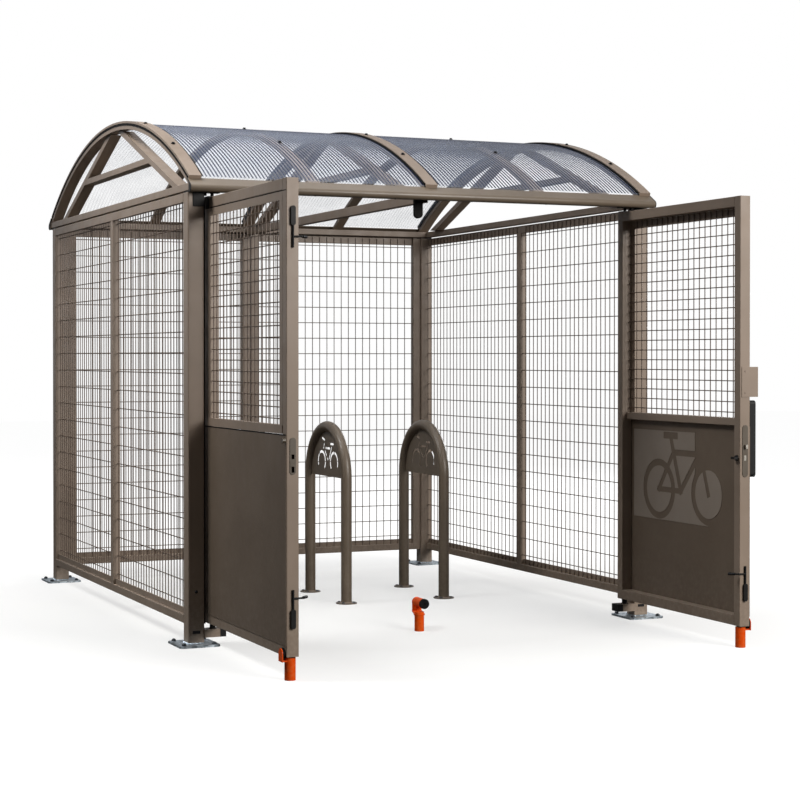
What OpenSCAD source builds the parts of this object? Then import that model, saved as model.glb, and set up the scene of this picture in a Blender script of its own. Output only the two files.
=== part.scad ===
// Cycle storage compound: a walk-in mesh enclosure under a barrel roof, with two outward opening doors.
// X runs left to right, Y front to rear, Z up from the ground. The doors are drawn open at right angles.
// The origin is on the ground, at the middle of the outline with both doors open.

/* [Footprint] */
// Distance between post centres, left to right
bay_w = 2440; // [2300:10:2700]
// Distance between post centres, front to rear
bay_d = 2760; // [2600:10:3100]
// Height of the post tops above the ground
post_top = 2157; // [2100:1:2300]

/* [Posts and beams] */
// Side of the square post tube
post_w = 80; // [76:1:90]
// Wall of the post tube
post_wall = 3; // [2:0.5:5]
// Outer corner radius of the post tube
post_r = 6; // [4:1:10]
// Base plate size, left to right
plate_w = 200; // [180:5:240]
// Base plate size, front to rear
plate_d = 220; // [200:5:260]
// Base plate thickness
plate_t = 10; // [6:1:15]
// Corner cut of a base plate
plate_cut = 14; // [6:1:18]
// Anchor hole centre from the plate's edges
anchor_inset = 25; // [22:1:30]
// Anchor hole diameter
anchor_d = 14; // [10:1:18]
// Thickness of the pad between post and tie beam
pad_t = 7; // [4:1:12]
// Width of the tie beams
tie_w = 40; // [36:1:50]
// Height of the tie beams
tie_h = 36; // [30:1:50]
// Height of the middle tie beam
mid_tie_h = 48; // [40:1:60]
// Depth of the front and rear eave beams
eave_d = 110; // [100:1:120]
// Reach of the eave beams beyond the posts
eave_reach = 36; // [30:1:50]
// Wall of every rail, beam and stile tube
tube_wall = 2.5; // [2:0.5:4]
// Outer corner radius of rails, beams and stiles
tube_r = 3; // [3:0.5:5]

/* [Roof] */
// Rise of the arches over the tie beams
roof_rise = 414; // [380:1:460]
// Radial height of an arch tube
arch_t = 20; // [16:1:30]
// Width of an arch tube
arch_w = 60; // [50:1:70]
// Arches in all, two of them at the gables
arch_count = 5; // [3:2:7]
// Depth of the corrugation
wave_h = 12; // [8:1:16]
// Width of one corrugation
wave_w = 19.4; // [16:0.1:26]
// Thickness of the roof sheet
sheet_t = 2; // [1.2:0.1:3]
// Width of a cover band
band_w = 62; // [56:1:70]
// Height of a cover band's lips
band_lip = 11; // [9:1:16]
// Thickness of a cover band
band_t = 3; // [2:0.5:4]
// Reach of the cover bands beyond the ends of the sheets
band_reach = 12; // [8:1:16]
// Height of the gutter nose
nose_h = 47; // [42:1:52]
// Reach of the gutter nose beyond the eave beam
nose_d = 34; // [28:1:40]
// Radius of the nose's upper edge
nose_r = 12; // [8:1:14]
// Overhang of the gutter beyond the posts' outer faces
gutter_over = 5; // [2:1:12]
// Width of the truss tubes, left to right
truss_w = 60; // [50:1:70]
// Set back of the outer trusses from the posts' outer faces
truss_in = 17; // [10:1:20]
// Depth of the truss rafters
rafter_h = 30; // [26:1:40]
// Slope of the truss rafters in degrees
rafter_s = 20.3; // [19:0.1:21.5]
// Set back of the rafters' feet from the posts' inner faces
rafter_in = 132; // [110:1:150]
// Height of the truss collars
collar_h = 30; // [26:1:40]
// Height of the collars above the tie beams
collar_up = 164; // [140:1:180]

/* [Roof bolts] */
// Distance of the cover bands' outer bolts from the ridge
band_bolt_far = 1075; // [1000:5:1150]
// Distance of the cover bands' inner bolts from the ridge
band_bolt_near = 578; // [500:2:650]
// Distance of the sheets' outer bolts from the ridge
sheet_bolt_far = 907; // [850:1:950]
// Distance of the sheets' inner bolts from the ridge
sheet_bolt_near = 340; // [300:5:400]

/* [Walls] */
// Gap between the ground and the wall frames
frame_low = 100; // [80:1:130]
// Width and depth of the bottom rails
rail = 40; // [36:1:44]
// Height of the top rails
top_rail_h = 45; // [40:1:55]
// Depth of the top rails, outside the mesh
top_rail_d = 20; // [16:1:22]
// Height of the strip above the bottom rails
strip_h = 30; // [20:1:40]
// Thickness of the strip
strip_t = 6; // [4:1:8]
// Width of the side wall mullions and the rear wall stiles
mullion_w = 50; // [44:1:60]
// Set back of the rear wall from the posts' rear faces
rear_set = 24; // [16:1:30]
// Gap between the two rear frames
rear_gap = 10; // [6:1:20]
// Mesh wire diameter
wire_d = 5; // [4:0.5:6]
// Distance between upright wires
wire_x = 50; // [40:1:80]
// Distance between level wires of the walls
wire_z = 100; // [80:1:150]
// Distance between level wires of the doors
door_wire_z = 50; // [40:1:80]

/* [Doors] */
// Thickness of the doors
door_t = 55; // [50:1:60]
// Gap between the ground and the doors
door_low = 103; // [95:1:120]
// Gap between the door tops and the eave beam
door_top_gap = 30; // [28:1:40]
// Width of the door stiles and of the bottom and top rails
stile_w = 50; // [46:1:56]
// Gap between a closed door's edge and its post
hinge_gap = 19.5; // [18:0.5:24]
// Gap between the two closed doors
meeting_gap = 30; // [29:0.5:34]
// Set back of the closed doors' inner faces from the posts' front faces
door_set = 50; // [48:1:54]
// Underside of the middle rail above the ground
mid_rail_z = 1048; // [1000:1:1100]
// Height of the middle rail
mid_rail_h = 37; // [30:1:45]
// Depth of the middle rail
mid_rail_d = 30; // [24:1:34]
// Thickness of the lower door sheet
door_sheet_t = 2; // [1:0.5:2.5]
// Lowest edge of the door sheet above the door's underside
door_sheet_up = 45; // [38:1:48]
// Width of the flat strips round the door windows
window_strip_w = 40; // [30:1:50]
// Thickness of the flat strips round the door windows
window_strip_t = 4; // [3:0.5:5]
// Width of the bicycle in the sign
sign_w = 768; // [700:2:780]
// Distance of the bicycle's middle from the door's hinge edge
sign_u = 561; // [550:1:580]
// Height of the bicycle's middle above the ground
sign_z = 777; // [760:1:800]
// Reach of the sign's field to the rear, from the bicycle's middle
field_rear = 481; // [430:1:490]
// Reach of the sign's field to the front, from the bicycle's middle
field_front = 108; // [90:1:130]
// Reach of the sign's field below the bicycle's middle
field_low = 233; // [220:1:240]
// Reach of the sign's field above the bicycle's middle
field_high = 222; // [210:1:240]
// Thickness of the bicycle sign
sign_t = 1.5; // [1:0.5:3]

/* [Pivots] */
// Diameter of the pivot pins
pin_d = 16; // [12:1:18]
// Radial clearance of the pivot pins
pin_clear = 0.06; // [0.02:0.01:0.1]
// Diameter of the collar that carries a door
collar_d = 28; // [24:1:34]
// Height of a bottom pivot bracket
bracket_h = 38; // [30:1:40]
// Height of a bottom pivot bracket's top face above the ground
bracket_top = 76; // [72:1:80]
// Depth of a bottom pivot bracket, front to rear
bracket_d = 70; // [60:1:76]
// Length of the caps on the bottom pivot brackets
bracket_cap_l = 30; // [20:1:36]
// Thickness of the washers under the doors' collars
washer_t = 3; // [2:0.5:4]
// Thickness of the top pivot plates
pivot_plate_t = 8; // [6:1:10]
// Reach of the top pivot plates beyond the pins
pivot_plate_reach = 34; // [28:1:38]
// Depth of the top pivot plates, front to rear
pivot_plate_d = 44; // [40:1:50]
// Width of the head stop for the left door
head_stop_w = 44; // [36:1:50]
// Height of the head stop
head_stop_h = 93; // [80:1:100]
// Height of the top pivot blocks on the doors
pivot_block_h = 50; // [40:1:60]

/* [Shoot bolts] */
// Diameter of a shoot bolt's inner rod
bolt_d = 12; // [10:1:14]
// Distance of the shoot bolts from the doors' free ends
bolt_inset = 35; // [32:1:38]
// Throw of a shoot bolt
bolt_throw = 40; // [36:1:41]
// Diameter of a shoot bolt's outer stem and arm
stem_d = 9.5; // [8:0.5:9.5]
// Width of a shoot bolt's guide
guide_w = 21; // [18:1:24]
// Depth of a shoot bolt's guide
guide_depth = 11.5; // [11.5:0.1:12.5]
// Length of a shoot bolt's guide
guide_l = 84; // [82:1:90]
// Height of the upper guide's lower end
upper_guide_z = 1931; // [1900:1:1960]
// Height of the lower guides' upper end
lower_guide_z = 306; // [280:1:330]

/* [Lock] */
// Height of the lock's centre
lock_z = 931; // [920:1:980]
// Height of the lock faceplate
face_h = 246; // [220:1:260]
// Width of the lock faceplate
face_w = 30; // [26:1:34]
// Thickness of the lock faceplate and the strike plate
face_t = 3; // [2:0.5:4]
// Throw of the dead bolt
dead_throw = 28; // [26:1:29]
// Length by which the latch stands out
latch_out = 18; // [12:1:22]
// Lowest edge of the guard plate above the ground
guard_z = 1186; // [1150:1:1220]
// Height of the guard plate
guard_h = 142; // [120:1:160]
// Width of the guard plate
guard_w = 90; // [80:1:100]
// Distance of the guard plate from the right door's inner face
guard_in = 8; // [4:1:12]
// Length of the pull handle
pull_l = 363; // [280:1:400]
// Height of the pull handle's centre
pull_z = 988; // [960:1:1040]

/* [Floor stops] */
// Outer diameter of the floor stop tubes
stop_d = 48.3; // [42:0.1:52]
// Wall of the floor stop tubes
stop_wall = 3.2; // [2.5:0.1:5]
// Height of the centre stop's rubber face
stop_z = 129; // [126:1:132]
// Height of the side stops' rubber faces
side_stop_z = 114; // [113:1:116]
// Distance from the centre stop's leg to its rubber face
stop_head_l = 86; // [76:1:100]
// Thickness of the plates between the stops' uprights and rubber faces
stop_plate_t = 6; // [4:1:8]
// Thickness of the plates behind the side stops' rubber faces
stop_back_t = 4; // [3:0.5:6]
// Diameter of the rubber faces
rubber_d = 51; // [49:1:54]
// Thickness of the rubber faces
rubber_t = 12; // [8:1:16]

/* [Cycle hoops] */
// Distance between hoops
hoop_pitch = 597; // [500:1:640]
// Distance between the legs of a hoop
hoop_w = 570; // [500:5:650]
// Height of a hoop
hoop_h = 1008; // [900:1:1100]
// Tube diameter of a hoop
hoop_d = 60; // [48:1:64]
// Tube wall of a hoop
hoop_wall = 2.5; // [2:0.5:4]
// Diameter of a floor flange
flange_d = 118; // [110:1:140]
// Thickness of a floor flange
flange_t = 6; // [5:1:10]
// Thickness of the in-fill plates
infill_t = 4; // [3:0.5:6]

/* [Hidden] */

$fn = 48;
weld_gap = 0.2;
seat_gap = 0.3;
over = 1;
paint = [0.42, 0.38, 0.34];
dark = [0.08, 0.08, 0.09];
zinc = [0.62, 0.67, 0.72];
orange = [0.86, 0.30, 0.08];

// Places of the posts, and their inner and outer faces
post_x = bay_w / 2;
post_y = bay_d / 2;
out_x = post_x + post_w / 2;
in_x = post_x - post_w / 2;
out_y = post_y + post_w / 2;
in_y = post_y - post_w / 2;

// Beams
tie_z = post_top + pad_t;
tie_top = tie_z + tie_h;
tie_x = out_x - tie_w / 2;
eave_y = out_y + eave_reach;
eave_in = eave_y - eave_d;
eave_half = out_x - tie_w - weld_gap;

// Roof circle: its centre lies at Y = 0, low under the ground line
arch_half = eave_y - 1;
arch_r = (arch_half * arch_half + roof_rise * roof_rise) / (2 * roof_rise);
arc_z = tie_top + roof_rise - arch_r;
gable_x = out_x - arch_w / 2;
sheet_r = arch_r + seat_gap;
crest_r = sheet_r + wave_h;
sheet_end_y = out_y + 5;
sheet_a = asin(sheet_end_y / crest_r);
foot_a = 33;
band_in_r = crest_r + seat_gap;
band_out_r = band_in_r + band_lip;
band_a = asin((sheet_end_y + band_reach) / crest_r);

// Gutter
gutter_half = out_x + gutter_over;
nose_y = eave_y + nose_d;
nose_low = tie_top - nose_h;
flange_up_r = arch_r + 5;
cap_t = 3;

// Trusses
truss_x = out_x - truss_in - truss_w;
rafter_foot = in_y - rafter_in;
rafter_top = tie_top + rafter_foot * tan(rafter_s);

// Walls: mesh wires lie just inside the strips and top rails
rail_top = frame_low + rail;
strip_top = rail_top + strip_h;
top_rail_z = post_top - top_rail_h;
upright_in = top_rail_d + seat_gap + wire_d / 2;
level_in = upright_in + wire_d + weld_gap;
first_level = strip_top + 25;
wall_edge = 32;
rear_edge = 19.5;
rear_y = out_y - rear_set;

// Doors: pivots, edges and levels
pivot_inset = door_t / 2;
pin_bore = pin_d + 2 * pin_clear;
pivot_x = in_x - hinge_gap - pivot_inset;
door_in_x = pivot_x - door_t / 2;
hinge_y = out_y - door_set;
pivot_y = hinge_y + pivot_inset;
door_l = pivot_x + pivot_inset - meeting_gap / 2;
door_top = tie_z - door_top_gap;
door_h = door_top - door_low;
mid_rail_top = mid_rail_z + mid_rail_h;
door_rail_top = door_low + stile_w;
door_rail_under = door_top - stile_w;
sheet_low = door_low + door_sheet_up;
sheet_v = door_t + weld_gap;
sheet_out = sheet_v + door_sheet_t;
door_upright_v = door_t - window_strip_t - seat_gap - wire_d / 2;
door_level_v = door_upright_v - wire_d - weld_gap;

// Shoot bolts
bolt_u = door_l - bolt_inset;
stem_off = 0.6 + stem_d / 2;
arm_reach = 38;
arm_gap = 46;
upper_arm_z = upper_guide_z - arm_gap;
lower_arm_z = lower_guide_z + arm_gap;
upper_link_z = upper_arm_z - 30;
lower_link_z = lower_arm_z + 18;
slot_w = 10;
link_d = 7;
arm_d = 8;
grip_d = 13;
grip_l = 34;
bolt_tip = 4;

// Lock
case_t = 19;
case_wall = 1.5;
case_h = 150;
case_depth = dead_throw + 10;
latch_z = lock_z + 21;
dead_z = lock_z - 33;
strike_up = 30;
strike_h = 157;
strike_w = 27;
turn_u = door_l - 24;
turn_d = 8;
turn_clear = 0.05;
turn_bore = turn_d + 2 * turn_clear;
cylinder_d = 22;
plug_d = 14;
latch_w = 11;
latch_h = 18;
dead_w = 11;
dead_h = 24;
play = 0.4;

// Floor stops
stop_x = pivot_x;
stop_y = hinge_y + bolt_u;
stop_top = door_low - 6;
stop_plate_top = side_stop_z - rubber_d / 2 - 2;
side_face_x = door_in_x + door_t + seat_gap;
centre_face_y = seat_gap - hinge_y;
stop_bore = stop_d - 2 * stop_wall;
closed_bolt_x = -pivot_x + bolt_u - pivot_inset;
leg_x = -8;

// The outline's middle, with the doors open, is moved onto the origin
front_reach = hinge_y + door_l + max(latch_out, guide_depth + weld_gap);
y_shift = (front_reach - nose_y) / 2;

module place() {
    translate([0, y_shift, 0]) children();
}

// Flat outline in Y and Z, drawn out along X
module along_x(x0, l) {
    translate([x0, 0, 0]) rotate([90, 0, 90]) linear_extrude(l) children();
}

// Flat outline in X and Z, drawn out along Y
module along_y(y0, l) {
    translate([0, y0 + l, 0]) rotate([90, 0, 0]) linear_extrude(l) children();
}

// Round bar between two points that differ along one axis only
module rod_x(x0, x1, y, z, d) {
    translate([x0, y, z]) rotate([0, 90, 0]) cylinder(d = d, h = x1 - x0);
}

module rod_y(x, y0, y1, z, d) {
    translate([x, y0, z]) rotate([-90, 0, 0]) cylinder(d = d, h = y1 - y0);
}

module rod_z(x, y, z0, z1, d) {
    translate([x, y, z0]) cylinder(d = d, h = z1 - z0);
}

// Box between two corners
module block(a, b) {
    translate(a) cube(b - a);
}

// Rectangle with round corners, centred
module soft_rect(w, d, r) {
    square([w - 2 * r, d], center = true);
    square([w, d - 2 * r], center = true);
    for (x = [-1, 1], y = [-1, 1]) translate([x * (w / 2 - r), y * (d / 2 - r)]) circle(r);
}

// Section of a rectangular tube, its low corner at the given point
module tube_section(a, w, d, wall, r) {
    translate([a[0] + w / 2, a[1] + d / 2]) difference() {
        soft_rect(w, d, r);
        soft_rect(w - 2 * wall, d - 2 * wall, max(r - wall, 0.5));
    }
}

module tube_x(x0, x1, y, z, d, h) {
    along_x(x0, x1 - x0) tube_section([y, z], d, h, tube_wall, tube_r);
}

module tube_y(y0, y1, x, z, w, h) {
    along_y(y0, y1 - y0) tube_section([x, z], w, h, tube_wall, tube_r);
}

module tube_z(z0, z1, x, y, w, d) {
    translate([0, 0, z0]) linear_extrude(z1 - z0) tube_section([x, y], w, d, tube_wall, tube_r);
}

module at_posts() {
    for (x = [-1, 1], y = [-1, 1]) translate([x * post_x, y * post_y, 0]) children();
}

module both_sides() {
    for (x = [0, 1]) mirror([x, 0, 0]) children();
}

module corner_posts() {
    color(paint) place() at_posts() translate([0, 0, plate_t]) linear_extrude(post_top - plate_t)
        tube_section([-post_w / 2, -post_w / 2], post_w, post_w, post_wall, post_r);
}

module plate_outline() {
    w = plate_w / 2;
    d = plate_d / 2;
    polygon([[w - plate_cut, -d], [w, plate_cut - d], [w, d - plate_cut], [w - plate_cut, d],
        [plate_cut - w, d], [-w, d - plate_cut], [-w, plate_cut - d], [plate_cut - w, -d]]);
}

module base_plates() {
    color(zinc) place() at_posts() difference() {
        linear_extrude(plate_t) plate_outline();
        for (x = [-1, 1], y = [-1, 1])
            translate([x * (plate_w / 2 - anchor_inset), y * (plate_d / 2 - anchor_inset), -over])
                cylinder(d = anchor_d, h = plate_t + 2 * over);
    }
}

module post_pads() {
    w = post_w / 2 - 3;
    color(dark) place() at_posts() block([-w, -w, post_top], [w, w, post_top + pad_t]);
}

module side_tie_beams() {
    color(paint) place() both_sides() tube_y(-eave_y, eave_y, tie_x - tie_w / 2, tie_z, tie_w, tie_h);
}

module middle_tie_beam() {
    color(paint) place()
        tube_y(weld_gap - eave_in, eave_in - weld_gap, -tie_w / 2, tie_top - mid_tie_h, tie_w, mid_tie_h);
}

// The front beam has a hole under the left door's upper shoot bolt
module eave_beam() {
    tube_x(-eave_half, eave_half, eave_in, tie_z, eave_d, tie_h);
}

module front_eave_beam() {
    color(paint) place() difference() {
        mirror([0, 1, 0]) eave_beam();
        rod_z(closed_bolt_x, -pivot_y, tie_z - over, tie_z + tube_wall + over, bolt_d + 3);
    }
}

module rear_eave_beam() {
    color(paint) place() eave_beam();
}

// Gutter nose: a flat underside, a bull nose and a flange that carries on the slope of the roof
function slope_z(y, r) = arc_z + r / cos(sheet_a) - y * tan(sheet_a);
function nose_arc(r, c) =
    [for (i = [0:6]) let (a = i * (90 - sheet_a) / 6) [c[0] + r * cos(a), c[1] + r * sin(a)]];

module gutter_outline() {
    y0 = eave_y + weld_gap;
    up_y = sheet_end_y;
    c = [nose_y - nose_r, slope_z(nose_y - nose_r, flange_up_r) - nose_r / cos(sheet_a)];
    under_r = flange_up_r - band_t;
    polygon(concat([[y0, nose_low], [nose_y - 4, nose_low], [nose_y, nose_low + 4]], nose_arc(nose_r, c),
        [[up_y, slope_z(up_y, flange_up_r)], [up_y - 1.5, slope_z(up_y - 1.5, under_r)],
        [y0, slope_z(y0, under_r)]]));
}

module gutter_hollow() {
    w = tube_wall;
    y0 = eave_y + weld_gap + w;
    y1 = nose_y - w;
    top_r = flange_up_r - 2 * band_t;
    polygon([[y0, nose_low + w], [y1, nose_low + w], [y1, slope_z(y1, top_r) - w], [y0, slope_z(y0, top_r)]]);
}

module gutter() {
    difference() {
        along_x(-gutter_half, 2 * gutter_half) gutter_outline();
        along_x(-gutter_half - over, 2 * gutter_half + 2 * over) gutter_hollow();
    }
}

module gutters() {
    color(paint) place() for (y = [0, 1]) mirror([0, y, 0]) gutter();
}

module gutter_end_caps() {
    color(dark) place() both_sides() for (y = [0, 1]) mirror([0, y, 0])
        along_x(gutter_half, cap_t) gutter_outline();
}

// Arc about the roof's centre line: the outline is drawn with the radius across and X upwards
module roof_arc(half_a, x) {
    translate([x, 0, arc_z]) rotate([0, -90, 0]) rotate([0, 0, -half_a])
        rotate_extrude(angle = 2 * half_a, $fn = 360) children();
}

module arch(x) {
    difference() {
        roof_arc(foot_a, x) difference() {
            translate([arch_r - arch_t, -arch_w / 2]) square([arch_t, arch_w]);
            translate([arch_r - arch_t + tube_wall, tube_wall - arch_w / 2])
                square([arch_t - 2 * tube_wall, arch_w - 2 * tube_wall]);
        }
        translate([x - arch_w, -arch_r, tie_top - arch_r]) cube([2 * arch_w, 2 * arch_r, arch_r]);
    }
}

module gable_arches() {
    color(paint) place() for (x = [-1, 1]) arch(x * gable_x);
}

module inner_arches() {
    step = 2 * gable_x / (arch_count - 1);
    color(paint) place() for (i = [1:arch_count - 2]) arch(i * step - gable_x);
}

// Bands over the arches: they reach a little beyond the sheets and are closed there down to the flange
module cover_bands() {
    w = band_w / 2;
    color(paint) place() for (i = [-1:1]) {
        roof_arc(band_a, i * gable_x) {
            translate([band_out_r - band_t, -w]) square([band_t, band_w]);
            for (y = [-w, w - band_t]) translate([band_in_r, y]) square([band_lip, band_t]);
        }
        for (m = [0, 1]) mirror([0, m, 0]) translate([i * gable_x, 0, arc_z]) rotate([-band_a, 0, 0])
            block([-w, -band_t, flange_up_r + seat_gap], [w, 0, band_out_r]);
    }
}

// Corrugation: one wave is a low flat, a rise, a high flat and a fall
function wave_points(n, r) = [for (i = [0:n - 1], q = [[0, 0], [0.3, 0], [0.5, 1], [0.8, 1]])
    [r + q[1] * (wave_h - sheet_t), (i + q[0]) * wave_w]];

module roof_sheet(x0, x1) {
    n = floor((x1 - x0) / wave_w);
    low = wave_points(n, sheet_r);
    high = [for (i = [len(low) - 1:-1:0]) low[i] + [sheet_t, 0]];
    roof_arc(sheet_a, (x0 + x1 + n * wave_w) / 2) polygon(concat(low, high));
}

module left_roof_sheet() {
    color([0.55, 0.62, 0.78, 0.6]) place() roof_sheet(2 - out_x, -2);
}

module right_roof_sheet() {
    color([0.55, 0.62, 0.78, 0.6]) place() roof_sheet(2, out_x - 2);
}

// Dome-headed bolt on the roof, at a distance from the ridge measured level
module roof_bolt(x, y, r) {
    translate([x, 0, arc_z]) rotate([-asin(y / r), 0, 0]) translate([0, 0, r]) {
        cylinder(d = 22, h = 2);
        cylinder(d = 14, h = 8);
    }
}

module roof_bolts() {
    color(dark) place() {
        for (i = [-1:1], y = [-band_bolt_far, -band_bolt_near, 0, band_bolt_near, band_bolt_far])
            roof_bolt(i * gable_x, y, band_out_r + weld_gap);
        for (i = [-1, 1], y = [-sheet_bolt_far, -sheet_bolt_near, sheet_bolt_near, sheet_bolt_far])
            roof_bolt(i * gable_x / 2, y, crest_r + weld_gap);
    }
}

// Truss in Y and Z: a strip of the rafter between two depths below its upper edge
function rafter_y(z, off) = rafter_foot - off / sin(rafter_s) - (z - tie_top) / tan(rafter_s);
function rafter_z(y, off) = rafter_top - off / cos(rafter_s) - y * tan(rafter_s);
function rafter_strip(a, b, z0, y1) =
    [[rafter_y(z0, a), z0], [y1, rafter_z(y1, a)], [y1, rafter_z(y1, b)], [rafter_y(z0, b), z0]];

module truss(x0) {
    w = tube_wall;
    collar_z = tie_top + collar_up;
    for (m = [0, 1]) mirror([0, m, 0]) intersection() {
        difference() {
            along_x(x0, truss_w) polygon(rafter_strip(0, rafter_h, tie_top, weld_gap));
            along_x(x0 + w, truss_w - 2 * w) polygon(rafter_strip(w, rafter_h - w, tie_top - over, 0));
        }
        rod_x(x0 - over, x0 + truss_w + over, 0, arc_z, 2 * (arch_r - arch_t - seat_gap));
    }
    difference() {
        along_x(x0, truss_w) polygon([for (q = [[-1, 0], [1, 0], [1, 1], [-1, 1]])
            let (z = collar_z + q[1] * collar_h) [q[0] * (rafter_y(z, rafter_h) - weld_gap), z]]);
        along_x(x0 + w, truss_w - 2 * w) translate([-rafter_foot, collar_z + w])
            square([2 * rafter_foot, collar_h - 2 * w]);
    }
}

module left_truss() {
    color(paint) place() truss(-truss_x - truss_w);
}

module middle_truss() {
    color(paint) place() truss(-truss_w / 2);
}

module right_truss() {
    color(paint) place() truss(truss_x);
}

// Side wall frame on the right: rails between the posts and a mullion in the middle
module wall_frame() {
    y1 = in_y - weld_gap;
    m = mullion_w / 2;
    tube_y(-y1, y1, out_x - rail, frame_low, rail, rail);
    tube_y(-y1, y1, out_x - top_rail_d, top_rail_z, top_rail_d, top_rail_h);
    tube_z(rail_top + weld_gap, top_rail_z - weld_gap, out_x - rail, -m, rail, mullion_w);
    for (k = [0, 1]) mirror([0, k, 0])
        block([out_x - top_rail_d, m + weld_gap, rail_top + weld_gap],
            [out_x - top_rail_d + strip_t, y1, strip_top]);
}

module left_wall_frame() {
    color(paint) place() mirror([1, 0, 0]) wall_frame();
}

module right_wall_frame() {
    color(paint) place() wall_frame();
}

// Rear wall: one frame of two stiles and two rails on each side of the middle
module rear_wall_frame() {
    a = rear_gap / 2;
    b = in_x - weld_gap - mullion_w;
    x0 = a + mullion_w + weld_gap;
    x1 = b - weld_gap;
    y0 = rear_y - rail;
    y1 = rear_y - top_rail_d;
    for (x = [a, b]) tube_z(frame_low, post_top, x, y0, mullion_w, rail);
    tube_x(x0, x1, y0, frame_low, rail, rail);
    tube_x(x0, x1, y1, top_rail_z, top_rail_d, top_rail_h);
    block([x0, y1, rail_top + weld_gap], [x1, y1 + strip_t, strip_top]);
}

module rear_wall_frames() {
    color(paint) place() both_sides() rear_wall_frame();
}

// Mesh of one side wall panel: upright wires outside, level wires inside
module side_mesh() {
    y0 = mullion_w / 2 + weld_gap;
    y1 = in_y - weld_gap;
    for (y = [mullion_w / 2 + wall_edge:wire_x:y1 - 2 * wire_d])
        rod_z(out_x - upright_in, y, rail_top + seat_gap, post_top - 7, wire_d);
    for (z = [first_level:wire_z:top_rail_z - wire_d])
        rod_y(out_x - level_in, y0, y1, z, wire_d);
}

module left_wall_mesh() {
    color(paint) place() mirror([1, 0, 0]) for (k = [0, 1]) mirror([0, k, 0]) side_mesh();
}

module right_wall_mesh() {
    color(paint) place() for (k = [0, 1]) mirror([0, k, 0]) side_mesh();
}

module rear_wall_mesh() {
    x0 = rear_gap / 2 + mullion_w + weld_gap;
    x1 = in_x - mullion_w - 2 * weld_gap;
    color(paint) place() both_sides() {
        for (x = [x0 + rear_edge:wire_x:x1 - wire_d])
            rod_z(x, rear_y - upright_in, rail_top + seat_gap, post_top - 7, wire_d);
        for (z = [first_level:wire_z:top_rail_z - wire_d])
            rod_x(x0, x1, rear_y - level_in, z, wire_d);
    }
}

// Bottom pivot: a bracket on the post, an end cap, a washer, and pins on the door
module pivot_brackets() {
    color(paint) place() both_sides() difference() {
        block([door_in_x, -pivot_y - bracket_d / 2, bracket_top - bracket_h],
            [in_x - weld_gap, bracket_d / 2 - pivot_y, bracket_top]);
        rod_z(pivot_x, -pivot_y, bracket_top - bracket_h - over, bracket_top + over, pin_bore);
    }
}

module bracket_caps() {
    w = bracket_d / 2 - 2;
    color(dark) place() both_sides()
        block([door_in_x - bracket_cap_l, -pivot_y - w, bracket_top - bracket_h],
            [door_in_x, w - pivot_y, bracket_top]);
}

module pivot_washers() {
    color(dark) place() both_sides() difference() {
        rod_z(pivot_x, -pivot_y, bracket_top, bracket_top + washer_t, collar_d + 10);
        rod_z(pivot_x, -pivot_y, bracket_top - over, bracket_top + washer_t + over, pin_bore);
    }
}

// Top pivot: a plate under the eave beam with a bore, and a screw beside it
module pivot_plates() {
    color(dark) place() both_sides() {
        difference() {
            block([pivot_x - pivot_plate_reach, -pivot_y - pivot_plate_d / 2, tie_z - pivot_plate_t],
                [in_x - weld_gap, pivot_plate_d / 2 - pivot_y, tie_z]);
            rod_z(pivot_x, -pivot_y, tie_z - pivot_plate_t - over, tie_z + over, pin_bore);
        }
        rod_z(in_x - 14, -pivot_y, door_top + 9, tie_z - pivot_plate_t, 12);
    }
}

module post_cover_plates() {
    color(dark) place() both_sides() block([in_x, -out_y - 5, post_top - 67], [out_x - 25, -out_y, post_top]);
}

// Stop for the closed left door, hung under the front eave beam
module head_stop() {
    w = head_stop_w;
    x = -meeting_gap / 2 - w / 2 - 3;
    z0 = tie_z - head_stop_h + w / 2;
    color(dark) place() along_y(seat_gap - hinge_y, hinge_y - eave_in - 2 - seat_gap) {
        translate([x - w / 2, z0]) square([w, tie_z - z0]);
        translate([x, z0]) circle(d = w);
    }
}

// A door is drawn with its inner face at X = 0 and its hinge edge at Y = 0, running towards -Y
module right_leaf() {
    place() translate([door_in_x, -hinge_y, 0]) children();
}

module left_leaf() {
    place() mirror([1, 0, 0]) translate([door_in_x, -hinge_y, 0]) children();
}

module leaf_tube(z0, z1, u, w) {
    tube_z(z0, z1, 0, -u - w, door_t, w);
}

module window_strips() {
    u0 = stile_w + weld_gap;
    u1 = door_l - stile_w - weld_gap;
    v0 = door_t - window_strip_t;
    z0 = mid_rail_top + weld_gap;
    z1 = door_rail_under - weld_gap;
    block([v0, -u0 - window_strip_w, z0], [door_t, -u0, z1]);
    block([v0, -u1, z0], [door_t, window_strip_w - u1, z1]);
    block([v0, window_strip_w + weld_gap - u1, z1 - window_strip_w],
        [door_t, -u0 - window_strip_w - weld_gap, z1]);
}

// Stiles and rails, with slots for the shoot bolts' links and holes for their rods
module leaf_frame(upper) {
    u0 = stile_w + weld_gap;
    u1 = door_l - stile_w - weld_gap;
    leaf_tube(door_low, door_top, 0, stile_w);
    difference() {
        leaf_tube(door_low, door_top, door_l - stile_w, stile_w);
        link_slot(lower_link_z - bolt_throw, lower_link_z);
        if (upper) link_slot(upper_link_z, upper_link_z + bolt_throw);
        children();
    }
    tube_y(-u1, -u0, 0, door_low, door_t, stile_w);
    tube_y(-u1, -u0, 0, door_rail_under, door_t, stile_w);
    tube_y(-u1, -u0, door_t - mid_rail_d, mid_rail_z, mid_rail_d, mid_rail_h);
    block([sheet_v, -u1, mid_rail_z], [sheet_out + 1, -u0, mid_rail_top]);
    window_strips();
}

module link_slot(z0, z1) {
    block([pivot_inset - slot_w / 2, -door_l - over, z0 - slot_w / 2],
        [pivot_inset + slot_w / 2, tube_wall + over - door_l, z1 + slot_w / 2]);
}

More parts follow.
